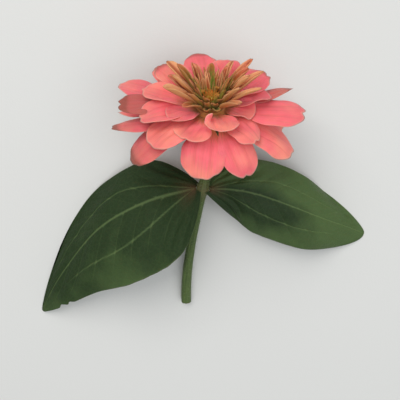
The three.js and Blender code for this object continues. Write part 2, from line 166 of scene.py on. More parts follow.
# Petals that turn brown, by row and ray: all over where it is 1, only at the tip where it is less.
WILTED = {
    (0, 8): 0.73, (0, 9): 0.75, (1, 3): 0.9, (1, 6): 0.45, (1, 8): 1, (2, 4): 0.35, (2, 6): 0.45,
    (2, 7): 0.5,
}

# Rows of young, rolled rays round the disc, in the same terms, evenly spaced from the row's turn.
YOUNG_ROWS = (
    {
        "count": 13, "turn": 8, "radius": 5.6, "height": 19.1, "length": 22, "width": 6,
        "rise": (44, 28), "arch": 98,
    },
    {
        "count": 11, "turn": 24, "radius": 5.3, "height": 19.6, "length": 18, "width": 5,
        "rise": (58, 47), "arch": 104,
    },
    {
        "count": 9, "turn": 3, "radius": 4.9, "height": 20.2, "length": 11, "width": 3.2,
        "rise": (80, 73), "arch": 108,
    },
)
# The youngest rays, still thin strands, which stand between the others and the disc.
STRANDS = {
    "count": 46, "radius": 4.3, "height": 19.9, "length": 13, "width": 2.2, "rise": (70, 60),
    "arch": 75,
}
# The strands' number among the rows, how far their feet are scattered, in millimetres, and their
# thickness as a share of a young ray's.
STRAND_ROW = 11
STRAND_SCATTER = 0.7
STRAND_THICKNESS = 0.8
# Azimuth, spread and share of length lost: the young rays are shorter on these two sides.
SHORTENED = ((-92, 40, 0.72), (88, 48, 0.2))
# A shorter young ray is also narrower and flatter: the share of its width and of its arch that it
# keeps anyway, and the share that goes with its length. For its material it counts as younger, by
# this many rows for its whole length. A strand's youth is partly fixed and partly a draw's.
KEPT = {"width": (0.4, 0.58), "arch": (0.4, 0.45)}
YOUTH = 2.4
STRAND_YOUTH = (0.55, 0.45)
# The outermost young rays are broader, flatter and a little shorter round this azimuth, over this
# spread: the shares of their width gained and of their arch and length lost.
PLUMP = {"azimuth": 176, "spread": 38, "width": 0.55, "arch": 0.25, "length": 0.08}

# How much neighbouring rays differ by chance: in degrees, in shares of their size and, for the
# wave of their edges, in millimetres. A ray's foot has only a share of its difference in rise.
CHANCE = {"azimuth": 3, "length": 0.05, "width": 0.025, "rise": 5, "twist": 9, "wave": 0.9}
YOUNG_CHANCE = {"azimuth": 5, "length": 0.14, "width": 0.2, "rise": 7, "twist": 14, "wave": 0.3}
STRAND_CHANCE = {"azimuth": 8, "length": 0.3, "width": 0.35, "rise": 17, "twist": 30, "wave": 0.3}
FOOT_SHARE = 0.3

# A ray's outline, in shares of its width or length: the breadth of its foot, the length over which
# it widens, how much it tapers, how far the tip's corners are rounded off, and the depth and half
# breadth of the nick in its tip.
RAY_OUTLINE = {
    "foot": 0.2, "spread": 0.55, "taper": 0, "round": 0.3, "nick": 0.028, "breadth": 0.121,
}
YOUNG_OUTLINE = {
    "foot": 0.38, "spread": 0.35, "taper": 0.35, "round": 0.24, "nick": 0.02, "breadth": 0.165,
}
# The nick's depth as shares of the outline's, one fixed and one by chance, how far it may lie from
# the midline, how far from it the second one lies and how deep and broad that is, and the depth,
# the closeness and the chance shift of the scallops.
NICKS = {
    "fixed": 0.8, "chance": 0.7, "aside": 0.16, "apart": 0.5, "second": 0.45, "narrow": 0.13,
    "scallop": 0.007, "scallops": 9, "shift": 3,
}
# How much of a ray's arch its foot has, and the share of its length by which the arch is full.
ARCHING = {"foot": 0.15, "spread": 0.35}
# Powers of the way to a blade's side and to its tip: the higher they are, the narrower its rim.
RIM_POWERS = (7, 26)
# The deep grooves of a ray: distance from the midline, spread and depth, as shares. The fine
# grooves beside them are a share as deep, and closer. All of them set in over the first share of
# the length and die out over the last, except for what is left of them at the tip.
FURROWS = ((0.36, 0.15, 1), (0, 0.12, 0.6))
FINE_GROOVES = {"depth": 0.12, "closeness": 17, "shift": 2}
GROOVE_ENDS = {"foot": 0.25, "tip": 0.25, "left": 0.15}
# How far a ray of the usual width stands off its middle surface, in millimetres, with how close
# the waves are along and across and how far chance shifts them: slow swells, puckers, and the curl
# and the slant of its tip over the last share of its length. Swells and puckers set in over the
# first share of it.
USUAL_WIDTH = 18
SWELLS = {"height": 0.75, "along": 5.5, "across": 2.6, "shift": 3}
PUCKERS = {"height": 0.2, "along": 17, "aslant": 3, "across": 4.4, "shift": (6, 3)}
CURL = {"height": 0.9, "slant": 0.7, "share": 0.38}
UNEVEN_FROM = 0.4
# How much thinner a ray is at its tip than at its foot, as a share.
RAY_THINNING = 0.3
# How close the waves of a ray's edges are.
EDGE_WAVES = 7

# Each leaf grows outwards on its side of the stem. Its midrib is a cubic curve whose corners are
# counted from the stem's middle. Near and far are its greatest half breadths, towards the stem's
# cut end and towards the head, and it narrows by the power called tip. Tilt is the slope across it
# at the base and at the tip, and arch is how far its cross-section bends. Its margins swing by the
# wave, as many times as waves says.
LEAVES = {
    "leaf_left": {
        "outward": -1,
        "midrib": ((-3.9, 0, 0), (-33, -5.2, 8), (-56, -11.3, -2), (-85.3, -70.2, -17.6)),
        "near": 34.3, "far": 23.7, "tilt": (24, 46), "arch": 28, "tip": 0.75,
        "wave": 1.6, "waves": 2.2, "phase": 0.1,
    },
    "leaf_right": {
        "outward": 1,
        "midrib": ((3.9, 0, 0), (26.6, 3, 7), (48.2, -12.4, 2), (83.9, -27.4, -20.6)),
        "near": 20.9, "far": 18.7, "tilt": (-6, 26), "arch": 40, "tip": 0.55,
        "wave": 2, "waves": 2.6, "phase": 0.55,
    },
}
# The shares of the length over which the margins' wave sets in and dies out, and how much it is out
# of step across the leaf, in cycles.
LEAF_WAVE = {"base": 0.25, "tip": 0.2, "slant": 0.2}
# A leaf's base clasps the stem by an angle to each side, over a share of its length and at a
# distance from it.
CLASP = {"angle": 75, "share": 0.15, "clear": 0.15}
# The power by which a leaf widens from its base, and the breadth of its clasping foot, as a share,
# with the power by which that is lost.
LEAF_BASE_POWER = 0.55
LEAF_FOOT = {"breadth": 0.2, "power": 6}
# How thick a leaf's blade is, how much the midrib adds and over what share of the half breadth, and
# how far its middle surface stays off the ground.
LEAF_THICKNESS = {"blade": 0.42, "rib": 0.35, "spread": 0.05}
LEAF_BED = 0.2
# How far a leaf's upper face rises between the veins, sinks along them, swells and folds, and the
# shares of its length over which all that sets in and dies out. Then how close the two crossed
# waves of the swells are along and across.
LEAF_RELIEF = {"puff": 0.34, "vein": 0.45, "swell": 0.9, "fold": 0.6, "base": 0.2, "tip": 0.15}
LEAF_SWELLS = ((11, 2.2), (5, 3.4))
# How uneven a leaf's margins are: depth as a share, how close along and across, and the start of
# each wave. They set in over the first share of its length, and by a power of the way out.
LEAF_RAGGED = ((0.005, 19, 2, 0), (0.002, 57, 0, 1.3))
LEAF_EDGE = {"base": 1 / 6, "power": 4}
# Notches in the near margin of the left leaf: how far along they are, how long and how deep.
LEAF_NOTCHES = ((0.93, 0.01, 0.16), (0.9, 0.008, 0.1))
# The powers that place a leaf's thin rim and its pale margin, and those that space its points
# along it and across it, with the share of its length at which the blade ends.
LEAF_RIM = (40, 60)
LEAF_MARGIN = 24
LEAF_SPACING = {"along": 1.05, "across": 0.9, "end": 0.997}
# Veins, in shares of the half breadth or the length. Each kind has its breadth, and the first two
# have more of it at the foot, by a power of the way to the tip. The long veins run out by a share,
# which they reach at a share of the length, and then close in again, and the side veins slant
# forward, bent by a power, with a step between the two sides. Strength is how much a kind shows
# beside the midrib, start is where it sets in and over what share, and fade where it dies out.
MIDRIB = {"breadth": 0.012, "foot": 0.03, "power": 2}
LONG_VEINS = {
    "strength": 0.75, "breadth": 0.013, "foot": 0.008, "out": 0.46, "reach": 0.55,
    "roundness": 0.85, "closing": 0.3, "fade": (0.72, 0.28),
}
SIDE_VEINS = {
    "strength": 0.4, "breadth": 0.0065, "count": 8, "slant": 0.3, "bend": 0.9, "step": 0.35,
    "start": (0.08, 0.1), "fade": (0.55, 0.4),
}
# The shares of the half breadth, from the midrib and from the margin, over which the tissue between
# the side veins begins to puff up.
PUFF = {"midrib": 0.18, "margin": 0.3}
# The folds near a leaf's base: how many are in its half breadth, how close they are gathered at the
# stem and how far along they have spread, the shares over which they set in from the midrib and
# from the margin, and from where and over what length they die out.
LEAF_FOLDS = {
    "count": 1.1, "gather": 0.25, "reach": 0.55, "midrib": 0.15, "margin": 0.25,
    "fade": (0.05, 0.75),
}

GOLDEN_ANGLE = math.pi * (3 - math.sqrt(5))
# What a draw's three numbers are multiplied by, and then their sine.
DRAW_STEPS = (12.9898, 78.233, 37.719)
DRAW_SIZE = 43758.5453

# How fine the pieces are: stations along them and points across or round them, or for a turned
# body and a floret the points round it alone.
GRIDS = {
    "petal": (44, 31), "young": (30, 15), "strand": (22, 9), "scale": (12, 7), "style": (14, 6),
    "bract": (18, 17), "stem": (150, 48), "leaf": (190, 91),
}
ROUND = {"core": 48, "ring": 40, "disc": 36, "cup": 64, "floret": 40}

# --------------------------------------------------------------------------------------------
# Small mathematics on arrays
# --------------------------------------------------------------------------------------------


def draw(row, ray, trait):
    """A fixed draw from -1 to 1: the fraction of a large sine of the three numbers."""
    first, second, third = DRAW_STEPS
    value = np.sin(row * first + ray * second + trait * third) * DRAW_SIZE
    return 2 * (value - np.floor(value)) - 1


def ease(x):
    """A smooth step from 0 at 0 to 1 at 1: three squares less two cubes."""
    c = np.clip(x, 0, 1)
    return c * c * (3 - 2 * c)


def ramp(x, start, length):
    """A smooth step from 0 at the start to 1 a length further on."""
    return ease((x - start) / length)


def hump(x, middle, spread):
    """A bell of height 1 round its middle: e to the minus square of the distance in spreads."""
    return np.exp(-(((x - middle) / spread) ** 2))


def unit(vectors):
    """The vectors divided by their lengths."""
    return vectors / (np.linalg.norm(vectors, axis=-1, keepdims=True) + 1e-12)


def stack(x, y, z):
    """Three arrays of coordinates as one array of points."""
    return np.stack(np.broadcast_arrays(x, y, z), axis=-1).astype(float)


def settled(height, lowest):
    """A height that bends smoothly, as a parabola, into the lowest and never falls below it."""
    above = height - lowest
    bent = lowest + (above + SETTLE) ** 2 / (4 * SETTLE)
    return np.where(above >= SETTLE, height, np.where(above <= -SETTLE, lowest, bent))


def rest_on_surface(points, lowest):
    """Points whose heights are settled onto the surface that the flower lies on."""
    rested = points.copy()
    rested[..., 2] = settled(points[..., 2], lowest)
    return rested


def bloom_to_flower(points):
    """Turns points of the bloom's frame about X by its tilt and carries them to the stem's top."""
    turn = math.radians(HEAD_TILT - 90)
    y = points[..., 1] * math.cos(turn) - points[..., 2] * math.sin(turn)
    z = points[..., 1] * math.sin(turn) + points[..., 2] * math.cos(turn)
    return stack(points[..., 0], y, z) + np.array(HEAD_BASE, float)


def turned(out, side, up, turn):
    """Points at a distance out from the axis, sideways and up, turned about it by an angle."""
    cosine, sine = math.cos(turn), math.sin(turn)
    return stack(out * cosine - side * sine, out * sine + side * cosine, up)


def bezier(corners, share):
    """A cubic Bezier curve's points and directions: the four corners weighted by the Bernstein
    polynomials of the share, and the curve's slope made unit length."""
    a, b, c, d = np.asarray(corners, float)
    t = np.asarray(share, float)[..., None]
    u = 1 - t
    points = u**3 * a + 3 * u * u * t * b + 3 * u * t * t * c + t**3 * d
    slope = u * u * (b - a) + 2 * u * t * (c - b) + t * t * (d - c)
    return points, unit(slope)


def grid(rows, columns):
    """Two parameters on a grid: s from 0 to 1 down the rows, q from -1 to 1 across them."""
    return np.meshgrid(np.linspace(0, 1, rows), np.linspace(-1, 1, columns), indexing="ij")


# --------------------------------------------------------------------------------------------
# Closed shells and the mesh they are gathered in
# --------------------------------------------------------------------------------------------


def round_angles(sides):
    """Evenly spaced angles round a circle, as one row."""
    return np.linspace(0, 2 * np.pi, sides, endpoint=False)[None, :]


def quads_of(index):
    """The four-cornered faces between the neighbouring entries of a grid of point numbers."""
    corners = (index[:-1, :-1], index[1:, :-1], index[1:, 1:], index[:-1, 1:])
    return np.stack(corners, axis=-1).reshape(-1, 4)


def halves_of(quads):
    """Each four-cornered face as two triangles."""
    return np.concatenate([quads[:, (0, 1, 2)], quads[:, (0, 2, 3)]])


# The look of parts without petals' or leaves' differences: upper face, middle tone and no mark.
PLAIN = (1, 0, 0)


class Skin:
    """Gathers closed shells into one mesh. Every point keeps two triples for the materials:
    place is along, across and nearness to the rim or, on a leaf, to a vein, and look is upper
    face, tone and a mark of the piece's own, such as how wilted a petal is."""

    def __init__(self):
        self.points = []
        self.places = []
        self.looks = []
        self.quads = []
        self.triangles = []
        self.count = 0

    def add(self, points, places, looks, quads, triangles=None):
        """Adds one closed shell, with its faces reversed if it encloses a negative volume."""
        triangles = np.zeros((0, 3), int) if triangles is None else triangles
        split = np.concatenate([halves_of(quads), triangles])
        a, b, c = (points[split[:, k]] for k in range(3))
        if np.sum(np.cross(a, b) * c) < 0:
            quads = quads[:, ::-1]
            triangles = triangles[:, ::-1]
        self.points.append(points)
        self.places.append(np.broadcast_to(places, points.shape))
        self.looks.append(np.broadcast_to(looks, points.shape))
        self.quads.append(quads + self.count)
        self.triangles.append(triangles + self.count)
        self.count += len(points)

    def add_blade(self, middle, lift, thickness, place, look):
        """A thin closed blade on a grid, with a tone and a mark as its look. Its upper face stands
        off the middle surface by the lift and half the thickness, its lower face by the lift less
        half the thickness, both along the surface's normal, and they share their points round the
        rim."""
        along = np.gradient(middle, axis=0)
        across = np.gradient(middle, axis=1)
        normal = unit(np.cross(along, across))
        half = (thickness / 2)[..., None]
        upper = middle + normal * (lift[..., None] + half)
        lower = middle + normal * (lift[..., None] - half)
        rows, columns = middle.shape[:2]
        top = np.arange(rows * columns).reshape(rows, columns)
        under = top.copy()
        inner = (rows - 2) * (columns - 2)
        under[1:-1, 1:-1] = rows * columns + np.arange(inner).reshape(rows - 2, columns - 2)
        points = np.concatenate([upper.reshape(-1, 3), lower[1:-1, 1:-1].reshape(-1, 3)])
        points[:, 2] = np.maximum(points[:, 2], 0)
        places = np.concatenate([place.reshape(-1, 3), place[1:-1, 1:-1].reshape(-1, 3)])
        tone, mark = look
        mark = np.broadcast_to(mark, (rows, columns))
        marks = np.concatenate([mark.ravel(), mark[1:-1, 1:-1].ravel()])
        face = np.zeros(len(points))
        face[: rows * columns] = 1
        face[top[(0, -1), :]] = 0.5
        face[top[:, (0, -1)]] = 0.5
        looks = stack(face, tone, marks)
        self.add(points, places, looks, np.concatenate([quads_of(top), quads_of(under)[:, ::-1]]))

    def add_tube(self, rings, first, last, place, look):
        """A closed tube: rings of points joined to each other, and a fan of triangles from a
        point at each end."""
        rows, columns = rings.shape[:2]
        index = np.arange(rows * columns).reshape(rows, columns)
        wrapped = np.concatenate([index, index[:, :1]], axis=1)
        start = np.full(columns, rows * columns)
        end = start + 1
        low = np.stack([start, wrapped[0, :-1], wrapped[0, 1:]], axis=-1)
        high = np.stack([end, wrapped[-1, 1:], wrapped[-1, :-1]], axis=-1)
        points = np.concatenate([rings.reshape(-1, 3), [first, last]])
        points[:, 2] = np.maximum(points[:, 2], 0)
        places = np.concatenate([place.reshape(-1, 3), [place[0, 0], place[-1, 0]]])
        self.add(points, places, look, quads_of(wrapped), np.concatenate([low, high]))

    def add_capped(self, rings, place, look):
        """A closed tube whose ends are closed at the middles of its first and last ring."""
        self.add_tube(rings, rings[0].mean(0), rings[-1].mean(0), place, look)

    def add_turned(self, outline, sides):
        """A body turned round the bloom's axis, from radius and height pairs that start and end on
        the axis: each pair between is carried round a circle."""
        profile = np.asarray(outline, float)
        angle = round_angles(sides)
        radius, height = (profile[1:-1, k, None] for k in range(2))
        rings = stack(radius * np.cos(angle), radius * np.sin(angle), height)
        ends = bloom_to_flower(stack(np.zeros(2), 0, profile[(0, -1), 1]))
        self.add_tube(bloom_to_flower(rings), ends[0], ends[1], np.zeros_like(rings), PLAIN)

    def piece(self, name, material, slot, nodes=()):
        """The gathered shells as a smooth-shaded object, in metres from the middle of the lying
        flower, which rides on the root body and stands for the nodes named."""
        points = (np.concatenate(self.points) - np.array(OUTLINE_CENTRE)) * MM
        quads = np.concatenate(self.quads)
        triangles = np.concatenate(self.triangles)
        corners = np.concatenate([quads.ravel(), triangles.ravel()])
        sizes = np.concatenate([np.full(len(quads), 4), np.full(len(triangles), 3)])
        mesh = bpy.data.meshes.new(name)
        mesh.vertices.add(len(points))
        mesh.vertices.foreach_set("co", points.ravel())
        mesh.loops.add(len(corners))
        mesh.loops.foreach_set("vertex_index", corners.astype(np.int32))
        mesh.polygons.add(len(sizes))
        mesh.polygons.foreach_set("loop_start", (np.cumsum(sizes) - sizes).astype(np.int32))
        mesh.update(calc_edges=True)
        mesh.shade_smooth()
        for label, values in (("place", self.places), ("look", self.looks)):
            attribute = mesh.attributes.new(label, "FLOAT_VECTOR", "POINT")
            attribute.data.foreach_set("vector", np.concatenate(values).ravel())
        if mesh.validate():
            raise RuntimeError(f"the mesh of {name} has faces that aren't valid")
        mesh.materials.append(material)
        piece = bpy.data.objects.new(name, mesh)
        bpy.context.scene.collection.objects.link(piece)
        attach(piece, "root")
        if nodes:
            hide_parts(*nodes)
        return piece


# --------------------------------------------------------------------------------------------
# Materials
# --------------------------------------------------------------------------------------------


def linear(code):
    """A colour written as #rrggbb in sRGB, as the linear shares that shaders take."""
    shares = [int(code[i : i + 2], 16) / 255 for i in (1, 3, 5)]
    return tuple(c / 12.92 if c <= 0.04045 else ((c + 0.055) / 1.055) ** 2.4 for c in shares)


class Value:
    """A number that varies over a surface: a node's socket, on which arithmetic adds Math nodes."""

    def __init__(self, recipe, socket):
        self.recipe = recipe
        self.socket = socket

    def math(self, operation, *others):
        """The operation on this value and the others."""
        return self.recipe.math(operation, self, *others)

    def __add__(self, other):
        return self.math("ADD", other)

    __radd__ = __add__

    def __sub__(self, other):
        return self.math("SUBTRACT", other)

    def __rsub__(self, other):
        return self.recipe.math("SUBTRACT", other, self)

    def __mul__(self, other):
        return self.math("MULTIPLY", other)

    __rmul__ = __mul__

    def __abs__(self):
        return self.math("ABSOLUTE")

    def clamped(self):
        """The value, but never below 0 or above 1."""
        return self.math("MAXIMUM", 0.0).math("MINIMUM", 1.0)

    def between(self, low, high):
        """A smooth step from 0 at low to 1 at high."""
        settings = {"interpolation_type": "SMOOTHSTEP"}
        return self.recipe.node("ShaderNodeMapRange", settings, {0: self, 1: low, 2: high})[0]

    def bell(self, middle, spread):
        """About 1 at the middle, falling to 0 one spread away."""
        return 1 - abs(self - middle).between(0.0, spread)


class Recipe:
    """A material under construction: one Principled shader and the nodes that feed it."""

    def __init__(self, name):
        self.material = bpy.data.materials.new(name)
        self.material.use_nodes = True
        self.tree = self.material.node_tree
        self.shader = self.tree.nodes["Principled BSDF"]

    def node(self, kind, settings=None, inputs=None):
        """Adds a node: its settings first, then the values or links of its sockets. Returns its
        outputs."""
        made = self.tree.nodes.new(kind)
        for name, value in (settings or {}).items():
            setattr(made, name, value)
        for key, value in (inputs or {}).items():
            if isinstance(value, Value):
                self.tree.links.new(value.socket, made.inputs[key])
            else:
                made.inputs[key].default_value = value
        return [Value(self, socket) for socket in made.outputs]

    def math(self, operation, *values):
        """Adds a Math node: the operation on the values."""
        settings = {"operation": operation}
        return self.node("ShaderNodeMath", settings, dict(enumerate(values)))[0]

    def triple(self, name):
        """The three parts of one of the piece's own attributes."""
        vector = self.node("ShaderNodeAttribute", {"attribute_name": name})[1]
        return self.node("ShaderNodeSeparateXYZ", None, {0: vector})

    def place(self):
        """The piece's own place, in metres."""
        return self.node("ShaderNodeTexCoord")[3]

    def vector(self, x, y, z):
        """Three numbers as one vector."""
        return self.node("ShaderNodeCombineXYZ", None, {0: x, 1: y, 2: z})[0]

    def noise(self, vector, scale, detail=2.0):
        """Cloudy noise from about 0.3 to 0.7."""
        inputs = {"Vector": vector, "Scale": scale, "Detail": detail}
        return self.node("ShaderNodeTexNoise", None, inputs)[0]

    def cells(self, vector, scale):
        """The distance from the edges of a net of cells, as between fine veins."""
        settings = {"feature": "DISTANCE_TO_EDGE"}
        return self.node("ShaderNodeTexVoronoi", settings, {"Vector": vector, "Scale": scale})[0]

    def mix(self, share, first, second):
        """A colour that goes from the first to the second as the share goes from 0 to 1."""
        a, b = (c if isinstance(c, Value) else (*c, 1.0) for c in (first, second))
        return self.node("ShaderNodeMix", {"data_type": "RGBA"}, {0: share, 6: a, 7: b})[2]

    def shade(self, colour, share):
        """A colour made darker or lighter by a share of itself."""
        grey = self.node("ShaderNodeCombineColor", None, {0: share, 1: share, 2: share})[0]
        settings = {"data_type": "RGBA", "blend_type": "MULTIPLY"}
        return self.node("ShaderNodeMix", settings, {0: 1.0, 6: colour, 7: grey})[2]

    def relief(self, height, distance):
        """The normal of a surface raised by height times the distance, in metres."""
        inputs = {"Strength": 1.0, "Distance": distance, "Height": height}
        return self.node("ShaderNodeBump", None, inputs)[0]

    def finish(self, colour, roughness, normal, **constants):
        """Feeds the shader. Constants are named by their sockets, with _ for a space."""
        for name, value in (("Base Color", colour), ("Roughness", roughness), ("Normal", normal)):
            self.tree.links.new(value.socket, self.shader.inputs[name])
        for name, value in constants.items():
            self.shader.inputs[name.replace("_", " ")].default_value = value
        return self.material


def petal_material(settings):
    """Coral petal tissue: pink in the middle and salmon towards the tip, with fine lengthwise
    streaks and painted shade along the grooves, a pale rim that is partly a painted highlight, a
    greenish foot that is partly painted shade under the petals above and a duller underside. Over
    it all, painted light makes each petal lighter near its foot and darker towards its tip."""
    recipe = Recipe("coral_petal")
    along, across, rim = recipe.triple("place")
    face, tone, wilted = recipe.triple("look")
    place = recipe.place()
    lengthwise = recipe.vector(across * 9.0, along * 1.3, tone * 23.0)
    streaks = recipe.noise(lengthwise, 1.6, 3.0)
    threads = recipe.noise(recipe.vector(across * 34.0, along * 1.1, tone * 31.0), 1.0, 2.0)
    mottle = recipe.noise(place, 240.0, 3.0)
    grain = recipe.noise(place, 2600.0, 2.0)
    clouds = recipe.noise(place, 95.0, 2.0)
    warmth = along.between(0.3, 1.0) * 0.5 + streaks * 1.1 + tone * 0.3 + clouds * 1.9 - 1.55
    colour = recipe.mix(warmth.clamped(), settings.blush, settings.colour)
    # Painted shade: darker along the grooves, where shade falls in the creases, mixed with the
    # petal's own darker threads and streaks.
    grooves = abs(across).bell(0.36, 0.13) * 0.55 + across.bell(0.0, 0.1) * 0.3
    shadowed = (grooves * along.between(0.1, 0.4) * along.bell(0.55, 0.55)).clamped()
    darker = shadowed * 0.55 + (threads - 0.45) * 0.5 + (streaks - 0.45) * 0.9
    colour = recipe.mix(darker.clamped(), colour, settings.groove_shade_and_streaks)
    # Pale rim: partly the petal's own paler edge and partly a painted highlight where the thin edge
    # catches the light.
    colour = recipe.mix(rim.between(0.3, 1.0) * (0.5 + along * 0.25), colour, settings.rim)
    # The foot: the petal's own colour where it leaves the head, and painted shade where it runs
    # under the petals above.
    foot = 1 - (along + (streaks - 0.5) * 0.4).between(0.1, 0.44)
    colour = recipe.mix(foot, colour, settings.foot)
    dull = (1 - face) * (0.45 + clouds * 0.7)
    colour = recipe.mix(dull.clamped(), colour, settings.underside)
    brown = wilted * 1.9 + clouds * 0.6 + (along + rim * 0.1).between(0.84, 1.02) - 1.45
    colour = recipe.mix(brown.clamped() * 0.85, colour, settings.wilted)
    # Random mottling of the petal's own tone, and painted light: lighter near the foot and darker
    # towards the tip.
    colour = recipe.shade(colour, 0.91 + mottle * 0.2 + clouds * 0.36 + tone * 0.05 - along * 0.28)
    roughness = 0.5 + mottle * 0.2 + threads * 0.12
    normal = recipe.relief(threads * 0.6 + grain * 0.2 + mottle * 0.5, 0.0003)
    return recipe.finish(
        colour, roughness, normal,
        Specular_IOR_Level=0.3, Sheen_Weight=0.12, Sheen_Roughness=0.5,
        Subsurface_Weight=0.22, Subsurface_Radius=(1.0, 0.35, 0.25), Subsurface_Scale=0.0016,
    )


def young_material(settings):
    """Young rolled rays: olive at the foot, tan along the middle and flushed peach at the tip, with
    lengthwise threads, a rusty flush along the midline that is partly painted shade in the hollow
    of the roll, and paler edges that are partly a painted highlight."""
    recipe = Recipe("young_ray")
    along, across, _ = recipe.triple("place")
    face, tone, youth = recipe.triple("look")
    place = recipe.place()
    threads = recipe.noise(recipe.vector(across * 11.0, along * 1.4, tone * 27.0), 1.5, 3.0)
    mottle = recipe.noise(place, 420.0, 3.0)
    opened = along + (threads - 0.5) * 0.5 + tone * 0.26 - youth * 0.15
    colour = recipe.mix(opened.between(0.1, 0.5), settings.foot, settings.colour)
    tips = recipe.mix((tone * 2.5 + mottle - 0.6).clamped(), settings.tip, settings.rim)
    colour = recipe.mix(opened.between(0.4, 0.85) * 0.85, colour, tips)
    rusty = (1 - youth * 0.45).clamped() * (1 - opened.between(0.3, 0.75)) * along.between(0.0, 0.2)
    green = (-0.25 - tone).clamped() * (1 - along.between(0.5, 1.0) * 0.7)
    colour = recipe.mix(green * youth.between(0.2, 1.2), colour, settings.foot)
    # Rusty flush along the midline: partly the ray's own colour and partly painted shade in the
    # hollow of the roll.
    flush = across.bell(0.0, 0.6) * (mottle + tone * 0.15).between(0.36, 0.56) * 0.85
    colour = recipe.mix((flush + rusty * 0.6).clamped(), colour, settings.flush)
    # Paler edges: partly the ray's own colour and partly a painted highlight where the rolled edge
    # catches the light.
    edge = abs(across).between(0.6, 0.95) * (0.75 - youth * 0.22 + tone * 0.2).clamped()
    colour = recipe.mix(edge * along.between(0.05, 0.4), colour, settings.rim)
    colour = recipe.mix((1 - face) * 0.45, colour, settings.underside)
    colour = recipe.shade(colour, 0.62 + threads * 0.62 + tone * 0.12)
    normal = recipe.relief(threads * 0.7 + mottle * 0.3, 0.00025)
    return recipe.finish(
        colour, 0.5 + mottle * 0.2, normal,
        Specular_IOR_Level=0.3, Sheen_Weight=0.08,
        Subsurface_Weight=0.15, Subsurface_Radius=(1.0, 0.6, 0.25), Subsurface_Scale=0.0012,
    )


def scale_material(settings):
    """Chaffy scales of the disc: olive below, brown above, with a rusty fringe at the tip."""
    recipe = Recipe("disc_scale")
    along, across, _ = recipe.triple("place")
    _, tone, _ = recipe.triple("look")
    place = recipe.place()
    fibres = recipe.noise(recipe.vector(across * 7.0, along * 1.6, tone * 19.0), 1.8, 3.0)
    mottle = recipe.noise(place, 900.0, 2.0)
    colour = recipe.mix((along + tone * 0.15).between(0.2, 0.75), settings.foot, settings.colour)
    tips = (along + (fibres - 0.5) * 0.5 + tone * 0.12).between(0.72, 0.95)
    colour = recipe.mix(tips * 0.9, colour, settings.tip)
    colour = recipe.shade(colour, 0.82 + fibres * 0.66)
    normal = recipe.relief(fibres * 0.7 + mottle * 0.3, 0.0002)
    return recipe.finish(colour, 0.62 + mottle * 0.2, normal, Specular_IOR_Level=0.25)


def floret_material(settings):
    """Disc florets: golden lobes on a greenish tube, darker in the throat."""
    recipe = Recipe("disc_floret")
    along, _, _ = recipe.triple("place")
    _, tone, _ = recipe.triple("look")
    mottle = recipe.noise(recipe.place(), 1500.0, 2.0)
    colour = recipe.mix(along.between(0.1, 0.6), settings.foot, settings.floret)
    colour = recipe.shade(colour, 0.8 + mottle * 0.35 + tone * 0.1)
    normal = recipe.relief(mottle, 0.00015)
    return recipe.finish(colour, 0.5 + mottle * 0.15, normal, Specular_IOR_Level=0.3)


def bract_material(settings):
    """Bracts of the cup: yellowish green, with a dark rounded margin and fine ribs."""
    recipe = Recipe("bract")
    along, across, rim = recipe.triple("place")
    face, tone, _ = recipe.triple("look")
    place = recipe.place()
    ribs = recipe.noise(recipe.vector(across * 8.0, along * 1.2, tone * 21.0), 2.2, 3.0)
    mottle = recipe.noise(place, 700.0, 3.0)
    colour = recipe.mix((along * 0.8 + ribs * 0.5 - 0.2).clamped(), settings.colour, settings.pale)
    margin = (rim + (mottle - 0.5) * 0.3) * along.between(0.45, 0.85)
    colour = recipe.mix(margin.between(0.3, 0.62), colour, settings.margin)
    colour = recipe.shade(colour, 0.8 + ribs * 0.4)
    normal = recipe.relief(ribs * 0.6 + mottle * 0.4, 0.00025)
    roughness = 0.5 + mottle * 0.2 + (1 - face) * 0.1
    return recipe.finish(colour, roughness, normal, Specular_IOR_Level=0.35)


def stem_material(settings):
    """Green stem: lengthwise ribs, a rusty flush near the leaves and the head, and pale pith where
    it is cut."""
    recipe = Recipe("stem")
    along, around, cut = recipe.triple("place")
    place = recipe.place()
    ribs = recipe.noise(recipe.vector(around * 26.0, along * 9.0, 0.0), 1.0, 3.0)
    mottle = recipe.noise(place, 500.0, 3.0)
    colour = recipe.mix((ribs * 1.6 - 0.4).clamped(), settings.stem, settings.stem_rib)
    flush = along.bell(LEAF_NODE, 0.09) * 0.75 + along.between(0.9, 1.0) * 0.3
    colour = recipe.mix((flush * mottle * 1.6).clamped() * 0.6, colour, settings.stem_flush)
    colour = recipe.mix(cut, colour, settings.pith)
    colour = recipe.shade(colour, 0.78 + mottle * 0.44)
    normal = recipe.relief(ribs * 0.6 + mottle * 0.4, 0.00035)
    return recipe.finish(
        colour, 0.48 + mottle * 0.2, normal,
        Specular_IOR_Level=0.4, Subsurface_Weight=0.08, Subsurface_Scale=0.0015,
    )


